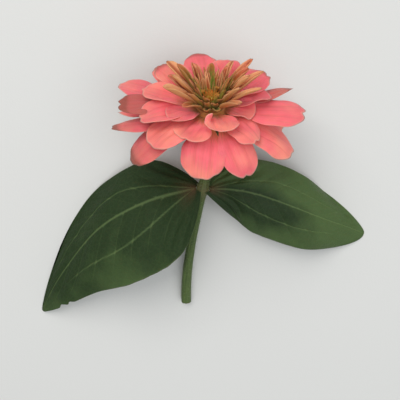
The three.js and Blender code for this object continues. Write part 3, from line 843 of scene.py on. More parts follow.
def leaf_material(settings):
    """Leaf tissue: dark green above with paler veins and a fine net between them, greyer and
    lighter below, with a thin paler margin. Random patches blend between the two greens, and so
    do painted light and shade: the right leaf lighter, most on its far half and towards its tip,
    with painted shade in the fold beside its midrib, and the left leaf darker, most on its far half
    under the bloom."""
    recipe = Recipe("leaf")
    along, across, veins = recipe.triple("place")
    face, tone, rim = recipe.triple("look")
    place = recipe.place()
    net = recipe.cells(place, 430.0).between(0.0, 0.16)
    fine_net = recipe.cells(place, 1300.0).between(0.0, 0.2)
    patches = recipe.noise(place, 38.0, 2.0)
    mottle = recipe.noise(place, 300.0, 2.0)
    # Painted light and shade on top of the leaf's own random patches: each leaf lighter or darker
    # as a whole by its tone, and both lighter towards the tip. The right leaf is lighter on its far
    # half and towards its tip, with painted shade in the fold on the near side of its midrib. The
    # left leaf is darker on its far half, under the bloom, and less dark towards its tip.
    painted_valley_shade = across.bell(-0.22, 0.75) * (1 - along.between(0.45, 0.9))
    right = (tone + 0.5) * (across * 0.6 + along * 0.6 - painted_valley_shade * 1.15)
    left = (tone - 0.5) * (across * 0.35 - along * 0.3 + 0.35)
    patches_and_painted_light = patches * 1.8 + mottle * 0.3 + tone * 0.6 + along * 0.2 + right + left - 0.75
    colour = recipe.mix(patches_and_painted_light.clamped(), settings.leaf, settings.leaf_patches_and_painted_light)
    colour = recipe.mix((1 - net) * 0.03 + (1 - fine_net) * 0.02, colour, settings.vein)
    colour = recipe.mix(veins.between(0.15, 0.9) * 0.42, colour, settings.vein)
    root = (1 - along.between(0.0, 0.14)) * across.bell(0.0, 0.6)
    colour = recipe.mix(root * 0.6, colour, settings.stem_flush)
    colour = recipe.mix(rim.between(0.4, 1.0) * 0.45, colour, settings.vein)
    colour = recipe.mix((1 - face) * 0.75, colour, settings.leaf_under)
    roughness = 0.56 + mottle * 0.16 + (1 - face) * 0.15 - tone * 0.14
    height = net * 0.55 + fine_net * 0.2 + mottle * 0.4 - veins * 0.3
    return recipe.finish(
        colour, roughness, recipe.relief(height, 0.00016),
        Specular_IOR_Level=0.26, Subsurface_Weight=0.05, Subsurface_Scale=0.001,
    )


def hair_material(settings):
    """Short stiff hairs, pale and slightly glassy."""
    recipe = Recipe("hair")
    mottle = recipe.noise(recipe.place(), 800.0, 2.0)
    colour = recipe.mix(mottle, settings.stem_rib, settings.hair)
    return recipe.finish(colour, 0.35 + mottle * 0.2, recipe.relief(mottle, 0.00005))


def floor_material(settings):
    """A plain pale floor with a faint cloudiness and no gloss."""
    recipe = Recipe("floor")
    place = recipe.place()
    clouds = recipe.noise(place, 3.0, 3.0)
    grain = recipe.noise(place, 900.0, 2.0)
    colour = recipe.mix(clouds, settings.floor, [c * 0.97 for c in settings.floor])
    return recipe.finish(
        colour, 0.75 + grain * 0.1, recipe.relief(grain, 0.00004), Specular_IOR_Level=0.2
    )


# --------------------------------------------------------------------------------------------
# Rays
# --------------------------------------------------------------------------------------------


def varied_ray(row, row_index, ray_index, traits, chance, outline):
    """A ray as its row and traits give it, with its chance differences."""
    azimuth, long, broad, raised, twisted = traits
    lean = chance["rise"] * draw(row_index, ray_index, 3)
    return {
        "azimuth": azimuth + chance["azimuth"] * draw(row_index, ray_index, 1),
        "radius": row["radius"],
        "height": row["height"],
        "length": row["length"] * long * (1 + chance["length"] * draw(row_index, ray_index, 2)),
        "width": row["width"] * broad * (1 + chance["width"] * draw(row_index, ray_index, 6)),
        "rise": (row["rise"][0] + FOOT_SHARE * lean, row["rise"][1] + lean + raised),
        "arch": row["arch"],
        "twist": twisted + chance["twist"] * draw(row_index, ray_index, 4),
        "wave": chance["wave"],
        "phase": math.pi * draw(row_index, ray_index, 5),
        "outline": outline,
        "draws": [draw(row_index, ray_index, trait) for trait in range(7, 17)],
        "folded": (row_index, ray_index) == (FOLD["row"], FOLD["ray"]),
        "wilted": WILTED.get((row_index, ray_index), 0),
    }


def ray_surface(ray, along, across):
    """A ray's middle surface in the bloom's frame: its midline leaves the head at one rise and
    bends evenly to another, so it is an arc of a circle. Its cross-section is an arc too, with a
    wave along the edges, and turns slightly about the midline towards the tip."""
    start = math.radians(ray["rise"][0])
    bend = (math.radians(ray["rise"][1]) - start) or 1e-6
    angle = start + bend * along
    reach = ray["radius"] + ray["length"] * (np.sin(angle) - math.sin(start)) / bend
    height = ray["height"] - ray["length"] * (np.cos(angle) - math.cos(start)) / bend
    foot, spread, taper = (ray["outline"][name] for name in ("foot", "spread", "taper"))
    widening = (foot + (1 - foot) * ease(along / spread)) * (1 - taper * along**3)
    half = ray["width"] / 2 * widening
    arching = ARCHING["foot"] + (1 - ARCHING["foot"]) * ease(along / ARCHING["spread"])
    arch = math.radians(ray["arch"]) * arching
    wave = ray["wave"] * across**2 * along * np.sin(EDGE_WAVES * along + ray["phase"])
    sideways = half * np.sin(across * arch) / arch
    lift = half * (1 - np.cos(across * arch)) / arch + wave
    twist = math.radians(ray["twist"]) * along
    side = sideways * np.cos(twist) - lift * np.sin(twist)
    up = sideways * np.sin(twist) + lift * np.cos(twist)
    return turned(
        reach - up * np.sin(angle), side, height + up * np.cos(angle), math.radians(ray["azimuth"])
    )


def ray_outline(ray, s, q):
    """Along and across for a ray: across is a sine of q, closer spaced at the edges. The tip is
    rounded towards the edges, with a nick near its middle, a shallower one beside it and small
    scallops, all of them placed by the ray's draws."""
    outline = ray["outline"]
    draws = ray["draws"]
    across = np.sin(np.pi / 2 * q)
    rounding = outline["round"] * (1 - np.sqrt(np.maximum(1 - across**2, 0)))
    middle = NICKS["aside"] * draws[1]
    depth = outline["nick"] * (NICKS["fixed"] + NICKS["chance"] * draws[0])
    notch = depth * hump(across, middle, outline["breadth"])
    beside = middle + NICKS["apart"] * np.sign(draws[3])
    shallow = NICKS["second"] * outline["nick"] * (1 + draws[2])
    notch = notch + shallow * hump(across, beside, NICKS["narrow"])
    waves = np.sin(NICKS["scallops"] * across + NICKS["shift"] * draws[4]) * (1 - across**2)
    return s * (1 - rounding - notch - NICKS["scallop"] * waves * ease(s)), across


def rim_of(s, q, powers=RIM_POWERS):
    """Nearness to a blade's rim, from 0 inside to 1 on it: the greater of a power of the way to
    the side and a power of the way to the tip."""
    side, tip = powers
    return np.maximum(np.abs(q) ** side, s**tip)


def thinned(thickness, rim):
    """A blade's thickness: it falls to nothing at the rim, by a square root as a rounded edge
    does, and is nothing at the foot."""
    thin = thickness * np.sqrt(np.clip(1 - rim, 0, 1))
    thin[0] = 0
    return thin


def fold_margin(middle, along, across):
    """Turns the part of a blade beyond the crease up about it. The turn dies out towards the tip,
    and the blade stays as broad as it was, because each row is unrolled along its own length."""
    crosswise = np.gradient(middle, axis=1)
    steps = np.linalg.norm(crosswise, axis=-1)
    normal = unit(np.cross(np.gradient(middle, axis=0), crosswise))
    fade = 1 - ramp(along, FOLD["reach"] - FOLD["fade"], FOLD["fade"])
    bent = ease((FOLD["crease"] - across) / FOLD["bend"] + 0.5)
    turn = math.radians(FOLD["turn"]) * bent * fade
    inward = unit(crosswise)
    step = inward * (np.cos(turn) - 1)[..., None] - normal * np.sin(turn)[..., None]
    step = step * steps[..., None]
    carried = np.cumsum(step[:, ::-1], axis=1)[:, ::-1]
    return middle - carried


def add_ray(skin, ray, thickness, groove, shape):
    """Adds a ray as a closed blade. Off its middle surface it has soft lengthwise grooves with
    puffed tissue between them, slow random swells and a curled tip. It thins out at the rim."""
    s, q = grid(*shape)
    along, across = ray_outline(ray, s, q)
    draws = ray["draws"]
    middle = bloom_to_flower(ray_surface(ray, along, across))
    if ray["folded"]:
        middle = fold_margin(middle, along, across)
    body = ease(along / GROOVE_ENDS["foot"])
    body = body * ease((1 - s) / GROOVE_ENDS["tip"] + GROOVE_ENDS["left"])
    furrows = sum(depth * hump(np.abs(across), out, spread) for out, spread, depth in FURROWS)
    fine = np.cos(FINE_GROOVES["closeness"] * across + FINE_GROOVES["shift"] * draws[5])
    fine = FINE_GROOVES["depth"] * fine
    swells = np.sin(SWELLS["along"] * along + SWELLS["shift"] * draws[5])
    swells = swells * np.sin(SWELLS["across"] * across + SWELLS["shift"] * draws[6])
    slanting, crossing = (PUCKERS["shift"][k] * draws[6 + k] for k in range(2))
    puckers = np.sin(PUCKERS["along"] * along + PUCKERS["aslant"] * across + slanting)
    puckers = puckers * np.sin(PUCKERS["across"] * across + crossing)
    curl = CURL["height"] * draws[7] + CURL["slant"] * across * draws[8]
    uneven = SWELLS["height"] * swells + PUCKERS["height"] * puckers
    uneven = uneven * ease(along / UNEVEN_FROM)
    uneven = uneven + curl * ramp(along, 1 - CURL["share"], CURL["share"])
    lift = groove * body * (fine - furrows) + uneven * ray["width"] / USUAL_WIDTH
    rim = rim_of(s, q)
    thin = thinned(thickness, rim) * (1 - RAY_THINNING * along)
    middle = rest_on_surface(middle, thickness / 2)
    skin.add_blade(middle, lift, thin, stack(along, across, rim), (draws[9], ray["mark"]))


def nearness(azimuth, middle, spread):
    """A bell of height 1 round the middle azimuth, counted the shorter way round."""
    return hump((azimuth - middle + 180) % 360 - 180, 0, spread)


def young_share(azimuth):
    """The share of its row's length that a young ray has: 1 less a bell for each shorter side."""
    return 1 - sum(loss * nearness(azimuth, middle, spread) for middle, spread, loss in SHORTENED)


def build_coral_rays(settings):
    """The coral rays in their rows, on the turned core that carries them."""
    skin = Skin()
    skin.add_turned(CORE_OUTLINE, ROUND["core"])
    for row_index, row in enumerate(CORAL_ROWS):
        for ray_index, traits in enumerate(row["rays"]):
            ray = varied_ray(row, row_index, ray_index, traits, CHANCE, RAY_OUTLINE)
            ray["mark"] = ray["wilted"]
            add_ray(skin, ray, settings.thickness / MM, settings.groove / MM, GRIDS["petal"])
    skin.piece("coral_petals", petal_material(settings), "coral_rays", ["coral_rays"])


def build_young_rays(settings):
    """The young rays evenly spaced in their rows, and the youngest ones set by the golden angle,
    on the turned ring that carries them."""
    thickness = settings.thickness / MM
    skin = Skin()
    skin.add_turned(RING_OUTLINE, ROUND["ring"])
    for row_index, row in enumerate(YOUNG_ROWS):
        for ray_index in range(row["count"]):
            azimuth = row["turn"] + 360 * ray_index / row["count"]
            share = young_share(azimuth)
            traits = (azimuth, share, 1, 0, 0)
            number = row_index + len(CORAL_ROWS)
            ray = varied_ray(row, number, ray_index, traits, YOUNG_CHANCE, YOUNG_OUTLINE)
            ray["mark"] = row_index + YOUTH * (1 - share)
            plump = (row_index == 0) * nearness(azimuth, PLUMP["azimuth"], PLUMP["spread"])
            for size, gained in (("width", PLUMP["width"]), ("arch", -PLUMP["arch"])):
                kept, shared = KEPT[size]
                ray[size] *= (kept + shared * share) * (1 + gained * plump)
            ray["length"] *= 1 - PLUMP["length"] * plump
            add_ray(skin, ray, thickness, settings.groove / MM, GRIDS["young"])
    for index in range(STRANDS["count"]):
        azimuth = math.degrees(index * GOLDEN_ANGLE)
        share = young_share(azimuth)
        traits = (azimuth, share, 1, 0, 0)
        ray = varied_ray(STRANDS, STRAND_ROW, index, traits, STRAND_CHANCE, YOUNG_OUTLINE)
        own, drawn = STRAND_YOUTH
        ray["mark"] = len(YOUNG_ROWS) * (own + drawn * ray["draws"][2]) + 1 - share
        ray["radius"] += STRAND_SCATTER * ray["draws"][3]
        add_ray(skin, ray, STRAND_THICKNESS * thickness, 0, GRIDS["strand"])
    skin.piece("young_petals", young_material(settings), "young_rays", ["young_rays"])


# --------------------------------------------------------------------------------------------
# Disc
# --------------------------------------------------------------------------------------------

# Scales: how far out they stand, the height of the middle one and how much lower each stands for
# every millimetre from the axis, their size, how much they taper and by which power, how far each
# side is folded, in radians, and how deep the fold is, as a share, and how they lean, in degrees,
# at the axis and more for every millimetre. Each kind of piece here has its own differences by
# chance, and its own number for the draws.
SCALE = {
    "spread": 3.1, "base": 20.6, "fall": 0.25, "length": 4.1, "half": 0.62, "taper": 0.92,
    "power": 1.8, "thickness": 0.16, "fold": 1.25, "depth": 0.8, "lean": 4, "leaning": 7,
}
SCALE_CHANCE = {"length": 0.7, "lean": 6, "half": 0.15}
# Florets: how far out and how high they stand, their height and lean, the share of their outline's
# breadth that they have, how far their lobes droop, the angle by which they are turned from the
# scales, in radians, the number of lobes, how deep the gaps between them are, as a share, and the
# power that shapes the gaps. The outline's rings are pairs of radius and share of the height, and
# the lobes start outside the tube's radius and are full one flare further out.
FLORET = {
    "radius": 2.3, "base": 20.8, "height": 4.9, "lean": 14, "slim": 0.95, "droop": 0.25,
    "turn": 0.7, "lobes": 5, "gap": 0.5, "power": 0.7,
}
FLORET_CHANCE = {"radius": 0.5, "height": 0.5, "lean": 6}
FLORET_OUTLINE = (
    (0.35, 0), (0.42, 0.5), (0.5, 0.8), (0.8, 0.93), (1.35, 1), (1.3, 1.02), (0.7, 0.99),
    (0.38, 0.93), (0.25, 0.8),
)
FLORET_TUBE = 0.5
FLORET_FLARE = 0.85
# Styles: where they rise, their length and thickness, their lean at the foot and how far they
# curl, the angle between their two arms at the foot, in radians, and how far the arms part.
STYLE = {
    "radius": 3.6, "base": 20.6, "length": 5.2, "half": 0.14, "taper": 0.45, "lean": 8, "curl": 75,
    "fork": 0.16, "part": 1.5,
}
STYLE_CHANCE = {"turn": 0.35, "length": 0.9, "curl": 20}
STYLE_DRAW, FLORET_DRAW, SCALE_DRAW = 7, 8, 9


def add_scale(skin, index, count):
    """Adds one chaffy scale of the disc: a narrow pointed blade folded round its midline, set by
    the golden angle at a radius that grows with the square root of its number, leaning out."""
    radius = SCALE["spread"] * math.sqrt((index + 0.5) / count)
    height = SCALE["base"] - SCALE["fall"] * radius
    length = SCALE["length"] + SCALE_CHANCE["length"] * draw(SCALE_DRAW, index, 1)
    lean = SCALE["lean"] + SCALE["leaning"] * radius
    lean = math.radians(lean + SCALE_CHANCE["lean"] * draw(SCALE_DRAW, index, 2))
    s, q = grid(*GRIDS["scale"])
    half = SCALE["half"] * (1 - SCALE["taper"] * s ** SCALE["power"])
    half = half * (1 + SCALE_CHANCE["half"] * draw(SCALE_DRAW, index, 3))
    fold = q * SCALE["fold"]
    side = half * np.sin(fold)
    out = radius + length * s * math.sin(lean) + half * (np.cos(fold) - 1) * SCALE["depth"]
    up = height + length * s * math.cos(lean)
    middle = bloom_to_flower(turned(out, side, up, index * GOLDEN_ANGLE))
    rim = rim_of(s, q)
    thin = thinned(SCALE["thickness"], rim)
    look = (draw(SCALE_DRAW, index, 4), 0)
    skin.add_blade(middle, np.zeros_like(s), thin, stack(s, q, rim), look)


def add_floret(skin, index):
    """Adds one disc floret: a slim tube that flares into pointed lobes, whose radius is a power of
    the cosine of the angle times their number, and closes in its throat."""
    radius = FLORET["radius"] + FLORET_CHANCE["radius"] * draw(FLORET_DRAW, index, 1)
    top = FLORET["height"] + FLORET_CHANCE["height"] * draw(FLORET_DRAW, index, 2)
    lean = math.radians(FLORET["lean"] + FLORET_CHANCE["lean"] * draw(FLORET_DRAW, index, 3))
    angle = round_angles(ROUND["floret"])
    profile = np.array(FLORET_OUTLINE, float)
    ring, share = profile[:, 0, None], profile[:, 1, None]
    lobed = np.clip((ring - FLORET_TUBE) / FLORET_FLARE, 0, 1)
    waves = np.cos(FLORET["lobes"] * angle)
    star = 1 - lobed * FLORET["gap"] * (1 - (0.5 + 0.5 * waves) ** FLORET["power"])
    x = ring * FLORET["slim"] * star * np.cos(angle)
    y = ring * FLORET["slim"] * star * np.sin(angle)
    z = top * share + FLORET["droop"] * lobed * (waves - 1)
    out = radius + x * math.cos(lean) + z * math.sin(lean)
    up = FLORET["base"] - x * math.sin(lean) + z * math.cos(lean)
    rings = bloom_to_flower(turned(out, y, up, index * GOLDEN_ANGLE + FLORET["turn"]))
    skin.add_capped(rings, stack(share, angle, 0), (1, draw(FLORET_DRAW, index, 4), 0))


def add_style(skin, index, count):
    """Adds one arm of a young ray's forked style: a thin thread that rises, then curls outwards
    ever more, by the square of the share of its length."""
    pair, arm = divmod(index, 2)
    turn = 2 * math.pi * pair / (count / 2) + STYLE_CHANCE["turn"] * draw(STYLE_DRAW, pair, 1)
    turn = turn + (arm - 0.5) * STYLE["fork"]
    stations, sides = GRIDS["style"]
    share = np.linspace(0, 1, stations)[:, None]
    length = STYLE["length"] + STYLE_CHANCE["length"] * draw(STYLE_DRAW, pair, 2)
    curl = math.radians(STYLE["curl"] + STYLE_CHANCE["curl"] * draw(STYLE_DRAW, index, 3))
    angle = math.radians(STYLE["lean"]) + curl * share**2
    steps = np.concatenate([np.sin(angle), np.cos(angle)], axis=1) * length / (stations - 1)
    centre = np.cumsum(steps, axis=0)
    out = STYLE["radius"] + centre[:, :1]
    up = STYLE["base"] + centre[:, 1:]
    around = round_angles(sides)
    thick = STYLE["half"] * (1 - STYLE["taper"] * share)
    across = thick * np.cos(around)
    over = thick * np.sin(around)
    side = across + (arm - 0.5) * STYLE["part"] * share**2
    radius = out + over * np.cos(angle)
    rings = bloom_to_flower(turned(radius, side, up - over * np.sin(angle), turn))
    skin.add_capped(rings, stack(share, around, 0), (1, draw(STYLE_DRAW, index, 4), 0))


def build_disc(settings):
    """The disc's scales on its turned base, and apart from them its florets and styles."""
    scales = Skin()
    scales.add_turned(DISC_OUTLINE, ROUND["disc"])
    for index in range(settings.scales):
        add_scale(scales, index, settings.scales)
    scales.piece("disc_scales", scale_material(settings), "disc", ["disc"])
    florets = Skin()
    for index in range(settings.florets):
        add_floret(florets, index)
    for index in range(2 * settings.styles):
        add_style(florets, index, 2 * settings.styles)
    florets.piece("disc_florets", floret_material(settings), "disc")


# --------------------------------------------------------------------------------------------
# Involucre
# --------------------------------------------------------------------------------------------


def cup_radius(height):
    """The cup's radius at a height, straight between the points of its outline."""
    side = np.array(CUP_OUTLINE[1:-1], float)
    return np.interp(height, side[:, 1], side[:, 0])


def add_bract(skin, azimuth, foot, row, index):
    """Adds one bract: a rounded blade that lies on the cup and flares a little off it towards its
    tip, by the square of the share of its length."""
    s, q = grid(*GRIDS["bract"])
    across = np.sin(np.pi / 2 * q)
    along = s * (1 - BRACT["rounding"] * (1 - np.sqrt(np.maximum(1 - across**2, 0))))
    chance = {
        name: 1 + most * draw(BRACT_DRAWS[name], index, row) for name, most in BRACT_CHANCE.items()
    }
    height = foot + BRACT["length"] * chance["length"] * along
    flare = BRACT["flare"] * chance["flare"]
    radius = cup_radius(height) + BRACT["lift"] + flare * along**2
    half = BRACT["width"] / 2 * np.minimum(1, BRACT["foot"] + BRACT["widening"] * along)
    angle = math.radians(azimuth) + across * half / radius
    middle = stack(radius * np.cos(angle), radius * np.sin(angle), height)
    thin = thinned(BRACT["thickness"], rim_of(s, q)) * (1 - BRACT["thinning"] * along)
    lift = BRACT["keel"] * hump(across, 0, BRACT["ridge"]) * ease((1 - along) * 2)
    place = stack(along, across, rim_of(s, q, BRACT["edge"]))
    look = (draw(BRACT_DRAWS["tone"], index, row), row)
    skin.add_blade(bloom_to_flower(middle), -lift, thin, place, look)


def build_involucre(settings):
    """The turned cup and the rows of bracts that lie on it."""
    skin = Skin()
    skin.add_turned(CUP_OUTLINE, ROUND["cup"])
    for row, (count, height, turn) in enumerate(BRACT_ROWS):
        for index in range(count):
            add_bract(skin, turn + 360 * index / count, height, row, index)
    skin.piece("cup_bracts", bract_material(settings), "involucre", ["involucre"])


# --------------------------------------------------------------------------------------------
# Stem
# --------------------------------------------------------------------------------------------


def stem_radius(s):
    """The stem's radius at a share of its length: it tapers from the cut to the middle, swells
    at the leaves and widens at the neck."""
    cut, middle, node, neck = STEM_RADIUS.values()
    taper = cut + (middle - cut) * ease(s / STEM_MIDDLE)
    swelling = node * hump(s, LEAF_NODE, NODE_SPREAD)
    return taper + swelling + neck * ramp(s, NECK, 1 - NECK)


def stem_frame(s):
    """The stem's centre and its tangent, sideways and upward directions at shares of its length."""
    centre, tangent = bezier(STEM_PATH, s)
    sideways = unit(np.array([1.0, 0, 0]) - tangent * tangent[..., :1])
    return centre, tangent, sideways, np.cross(sideways, tangent)


def stem_points(s, angle, radius):
    """Points round the stem at shares of its length, angles and radii."""
    centre, _, sideways, upward = stem_frame(s)
    over = (radius * np.cos(angle))[..., None]
    up = (radius * np.sin(angle))[..., None]
    return centre + sideways * over + upward * up


def build_stem(settings):
    """The stem is a tube along its path whose radius has low ribs, by a cosine of the angle. Its
    cut end dips into pale pith."""
    stations, sides = GRIDS["stem"]
    s = np.linspace(0, 1, stations)
    s[-1] = STEM_END
    end, dip, pith = (np.array(STEM_CUT[name], float) for name in ("ring", "dip", "pith"))
    share = np.concatenate([np.zeros(len(end)), s[1:]])[:, None]
    angle = round_angles(sides)
    scale = np.concatenate([end, np.ones(stations - 1)])[:, None]
    waves = np.cos(STEM_RIBS["count"] * angle + STEM_RIBS["turn"] * share)
    ribs = 1 + STEM_RIBS["depth"] * waves * scale**4
    radius = stem_radius(share) * scale * ribs
    rings = stem_points(share, angle, radius)
    tangent = stem_frame(np.array(0.0))[1]
    inward = np.concatenate([dip, np.zeros(stations - 1)])[:, None, None]
    rings = rings + inward * tangent
    pith = np.concatenate([pith, np.zeros(stations - 1)])[:, None]
    place = stack(share, angle / (2 * np.pi), pith)
    skin = Skin()
    skin.add_capped(rings, place, PLAIN)
    skin.piece("stem_skin", stem_material(settings), "stem", ["stem"])


# --------------------------------------------------------------------------------------------
# Leaves
# --------------------------------------------------------------------------------------------


def leaf_shape(s, tip):
    """Half breadth of a leaf along its midrib, as a share of the greatest: a power of the way
    from the base times a power of the way to the tip, on a narrow foot that clasps the stem."""
    widest = LEAF_BASE_POWER / (LEAF_BASE_POWER + tip)
    greatest = widest**LEAF_BASE_POWER * (1 - widest) ** tip
    foot = LEAF_FOOT["breadth"] * (1 - s) ** LEAF_FOOT["power"]
    return foot + s**LEAF_BASE_POWER * (1 - s) ** tip / greatest


def leaf_surface(leaf, along, across):
    """A leaf's middle surface: an arched blade on a bent midrib. Its cross-section is an arc that
    starts from the tilt at the midrib, the margins swing in a slow wave, and the base is blended
    into a ring round the stem."""
    centre, _, sideways, upward = stem_frame(np.array(LEAF_NODE))
    s = np.clip(along, 0, 1)
    rib, tangent = bezier(np.array(leaf["midrib"], float) + centre, s)
    outward = leaf["outward"]
    headward = unit(outward * stack(-tangent[..., 1], tangent[..., 0], 0))
    raised = unit(np.array([0, 0, 1.0]) - tangent * tangent[..., 2:])
    half = np.where(across < 0, leaf["near"], leaf["far"]) * leaf_shape(s, leaf["tip"])
    tilt = np.radians(leaf["tilt"][0] + (leaf["tilt"][1] - leaf["tilt"][0]) * s)
    arch = math.radians(leaf["arch"])
    level = half * (np.sin(tilt + arch * across) - np.sin(tilt)) / arch
    drop = half * (np.cos(tilt) - np.cos(tilt + arch * across)) / arch
    wave = leaf["wave"] * across**2 * ease(s / LEAF_WAVE["base"])
    wave = wave * ease((1 - s) / LEAF_WAVE["tip"])
    cycles = leaf["waves"] * s + leaf["phase"] + LEAF_WAVE["slant"] * across
    swing = wave * np.sin(2 * np.pi * cycles)
    blade = rib + headward * level[..., None] + raised * (swing - drop)[..., None]
    ring = stem_radius(LEAF_NODE) + CLASP["clear"]
    reach = math.radians(CLASP["angle"]) * across
    base = centre + sideways * (outward * ring * np.cos(reach))[..., None]
    base = base - upward * (ring * np.sin(reach))[..., None]
    leaving = (1 - (1 - np.minimum(along / CLASP["share"], 1)) ** 2)[..., None]
    return base + (blade - base) * leaving


def leaf_veins(s, across):
    """How strongly veins show at a place on a leaf, from 0 to 1, and how far the tissue puffs up
    between them: a midrib, a long vein on each side that leaves it near the base and runs with the
    margin, and side veins that slant forward from the midrib and fade out."""
    out = np.abs(across)
    midrib = hump(out, 0, MIDRIB["breadth"] + MIDRIB["foot"] * (1 - s) ** MIDRIB["power"])
    reach = LONG_VEINS["reach"]
    line = np.sin(np.pi / 2 * np.minimum(s / reach, 1)) ** LONG_VEINS["roundness"]
    line = LONG_VEINS["out"] * line * (1 - LONG_VEINS["closing"] * ramp(s, reach, 1 - reach))
    lateral = hump(out, line, LONG_VEINS["breadth"] + LONG_VEINS["foot"] * (1 - s))
    lateral = LONG_VEINS["strength"] * lateral * (1 - ramp(s, *LONG_VEINS["fade"]))
    cycle = SIDE_VEINS["count"] * (s - SIDE_VEINS["slant"] * out ** SIDE_VEINS["bend"])
    cycle = cycle + SIDE_VEINS["step"] * np.sign(across)
    away = np.abs(cycle - np.round(cycle)) / SIDE_VEINS["count"]
    side = SIDE_VEINS["strength"] * hump(away, 0, SIDE_VEINS["breadth"])
    side = side * (1 - ramp(out, *SIDE_VEINS["fade"])) * ramp(s, *SIDE_VEINS["start"])
    puff = 0.5 - 0.5 * np.cos(2 * np.pi * cycle)
    puff = puff * ease(out / PUFF["midrib"]) * ease((1 - out) / PUFF["margin"])
    return np.clip(midrib + lateral + side, 0, 1), puff


def leaf_folds(s, across):
    """Long soft folds that leave the midrib near the base and run with the margins, deep near the
    stem and dying out towards the tip: a cosine of the distance across, bent with the length."""
    out = np.abs(across)
    gather = LEAF_FOLDS["gather"]
    reach = out / (gather + (1 - gather) * ease(s / LEAF_FOLDS["reach"]))
    waves = -np.cos(2 * np.pi * LEAF_FOLDS["count"] * reach)
    inside = ease(out / LEAF_FOLDS["midrib"]) * ease((1 - out) / LEAF_FOLDS["margin"])
    return waves * inside * (1 - ramp(s, *LEAF_FOLDS["fade"]))


def build_leaf(name, material):
    """A leaf is a closed blade whose veins are sunk into its upper face, with the tissue puffed
    up a little between them and uneven margins."""
    leaf = LEAVES[name]
    s, q = grid(*GRIDS["leaf"])
    share = LEAF_SPACING["end"] * (1 - (1 - s) ** LEAF_SPACING["along"])
    across = np.sign(q) * np.abs(q) ** LEAF_SPACING["across"] * leaf["outward"]
    teeth = sum(depth * hump(share, middle, length) for middle, length, depth in LEAF_NOTCHES)
    teeth = teeth * (across < 0) * (leaf["outward"] < 0)
    ragged = sum(
        depth * np.sin(close * share + slant * across + start)
        for depth, close, slant, start in LEAF_RAGGED
    )
    worn = ragged * ease(share / LEAF_EDGE["base"]) + teeth
    shrunk = across * (1 - worn * np.abs(across) ** LEAF_EDGE["power"])
    middle = rest_on_surface(leaf_surface(leaf, share, shrunk), LEAF_BED)
    veins, puff = leaf_veins(share, across)
    inside = ease(share / LEAF_RELIEF["base"]) * ease((1 - share) / LEAF_RELIEF["tip"])
    (along_first, across_first), (along_second, across_second) = LEAF_SWELLS
    swells = np.sin(along_first * share + across_first * across + leaf["phase"])
    swells = swells * np.sin(along_second * share + across_second * across)
    folds = leaf_folds(share, across)
    lift = LEAF_RELIEF["puff"] * puff - LEAF_RELIEF["vein"] * veins
    lift = inside * (lift + LEAF_RELIEF["swell"] * swells + LEAF_RELIEF["fold"] * folds)
    rim = rim_of(share, q, LEAF_RIM)
    thin = LEAF_THICKNESS["blade"] * np.sqrt(np.clip(1 - rim, 0, 1))
    rib = LEAF_THICKNESS["rib"] * hump(across, 0, LEAF_THICKNESS["spread"])
    thin = thin + rib * (1 - share)
    thin[:, (0, -1)] = 0
    thin[(0, -1), :] = 0
    skin = Skin()
    place = stack(share, across, veins)
    skin.add_blade(middle, lift, thin, place, (0.5 * leaf["outward"], np.abs(q) ** LEAF_MARGIN))
    skin.piece(name + "_blade", material, "leaf", [name])


def build_leaves(settings):
    """Both leaves of the pair, in one material."""
    material = leaf_material(settings)
    for name in LEAVES:
        build_leaf(name, material)


# --------------------------------------------------------------------------------------------
# Hairs
# --------------------------------------------------------------------------------------------

# Hairs, in millimetres: the shortest and the longest, their thickness, how deep they are rooted,
# how high a point 1 mm out from a root has to be for its hair to be kept, and how near the surface
# a hair may come. Then the first and the last place along the stem, as shares, the power that
# crowds them towards the head, how far they lean up the stem, least and most, and their seed.
HAIR = {"short": 0.5, "long": 1.2, "thickness": 0.11, "root": 0.15, "clear": 0.3, "floor": 0.01}
HAIR_PLACES = {"first": 0.015, "last": 0.97, "crowding": 0.85, "lean": (-0.1, 0.5)}
HAIR_SEED = 11
# A direction that no hair is parallel to, from which the sides of the hairs are set out.
ASIDE = (0.31, 0.52, 0.79)


def add_hairs(skin, roots, directions, lengths, thickness):
    """Adds short stiff hairs, each a three-sided spike: three points round its root, a fourth at
    its tip."""
    side = unit(np.cross(directions, np.array(ASIDE)))
    other = np.cross(directions, side)
    angle = 2 * np.pi * np.arange(3) / 3
    ring = side[:, None] * np.cos(angle)[:, None] + other[:, None] * np.sin(angle)[:, None]
    base = roots[:, None] + ring * thickness / 2 - directions[:, None] * HAIR["root"]
    tip = (roots + directions * lengths[:, None])[:, None]
    points = np.concatenate([base, tip], axis=1).reshape(-1, 3)
    points[:, 2] = np.maximum(points[:, 2], HAIR["floor"])
    faces = np.array([[0, 2, 1], [0, 1, 3], [1, 2, 3], [2, 0, 3]])
    numbers = (4 * np.arange(len(roots))[:, None, None] + faces).reshape(-1, 3)
    skin.add(points, (0, 0, 0), PLAIN, np.zeros((0, 4), int), numbers)


def build_hairs(settings):
    """Hairs stand out from the stem at random places, denser towards the head, and lean up it."""
    rng = np.random.default_rng(HAIR_SEED)
    count = settings.hairs
    s = rng.uniform(HAIR_PLACES["first"], HAIR_PLACES["last"], count) ** HAIR_PLACES["crowding"]
    angle = rng.uniform(0, 2 * np.pi, count)
    radius = stem_radius(s)
    roots = stem_points(s, angle, radius)
    centre, tangent, _, _ = stem_frame(s)
    outward = unit(roots - centre)
    directions = unit(outward + tangent * rng.uniform(*HAIR_PLACES["lean"], count)[:, None])
    keep = roots[:, 2] + directions[:, 2] > HAIR["clear"]
    lengths = rng.uniform(HAIR["short"], HAIR["long"], count)
    skin = Skin()
    add_hairs(skin, roots[keep], directions[keep], lengths[keep], HAIR["thickness"])
    skin.piece("stem_hairs", hair_material(settings), "stem")


# --------------------------------------------------------------------------------------------
# Stage
# --------------------------------------------------------------------------------------------

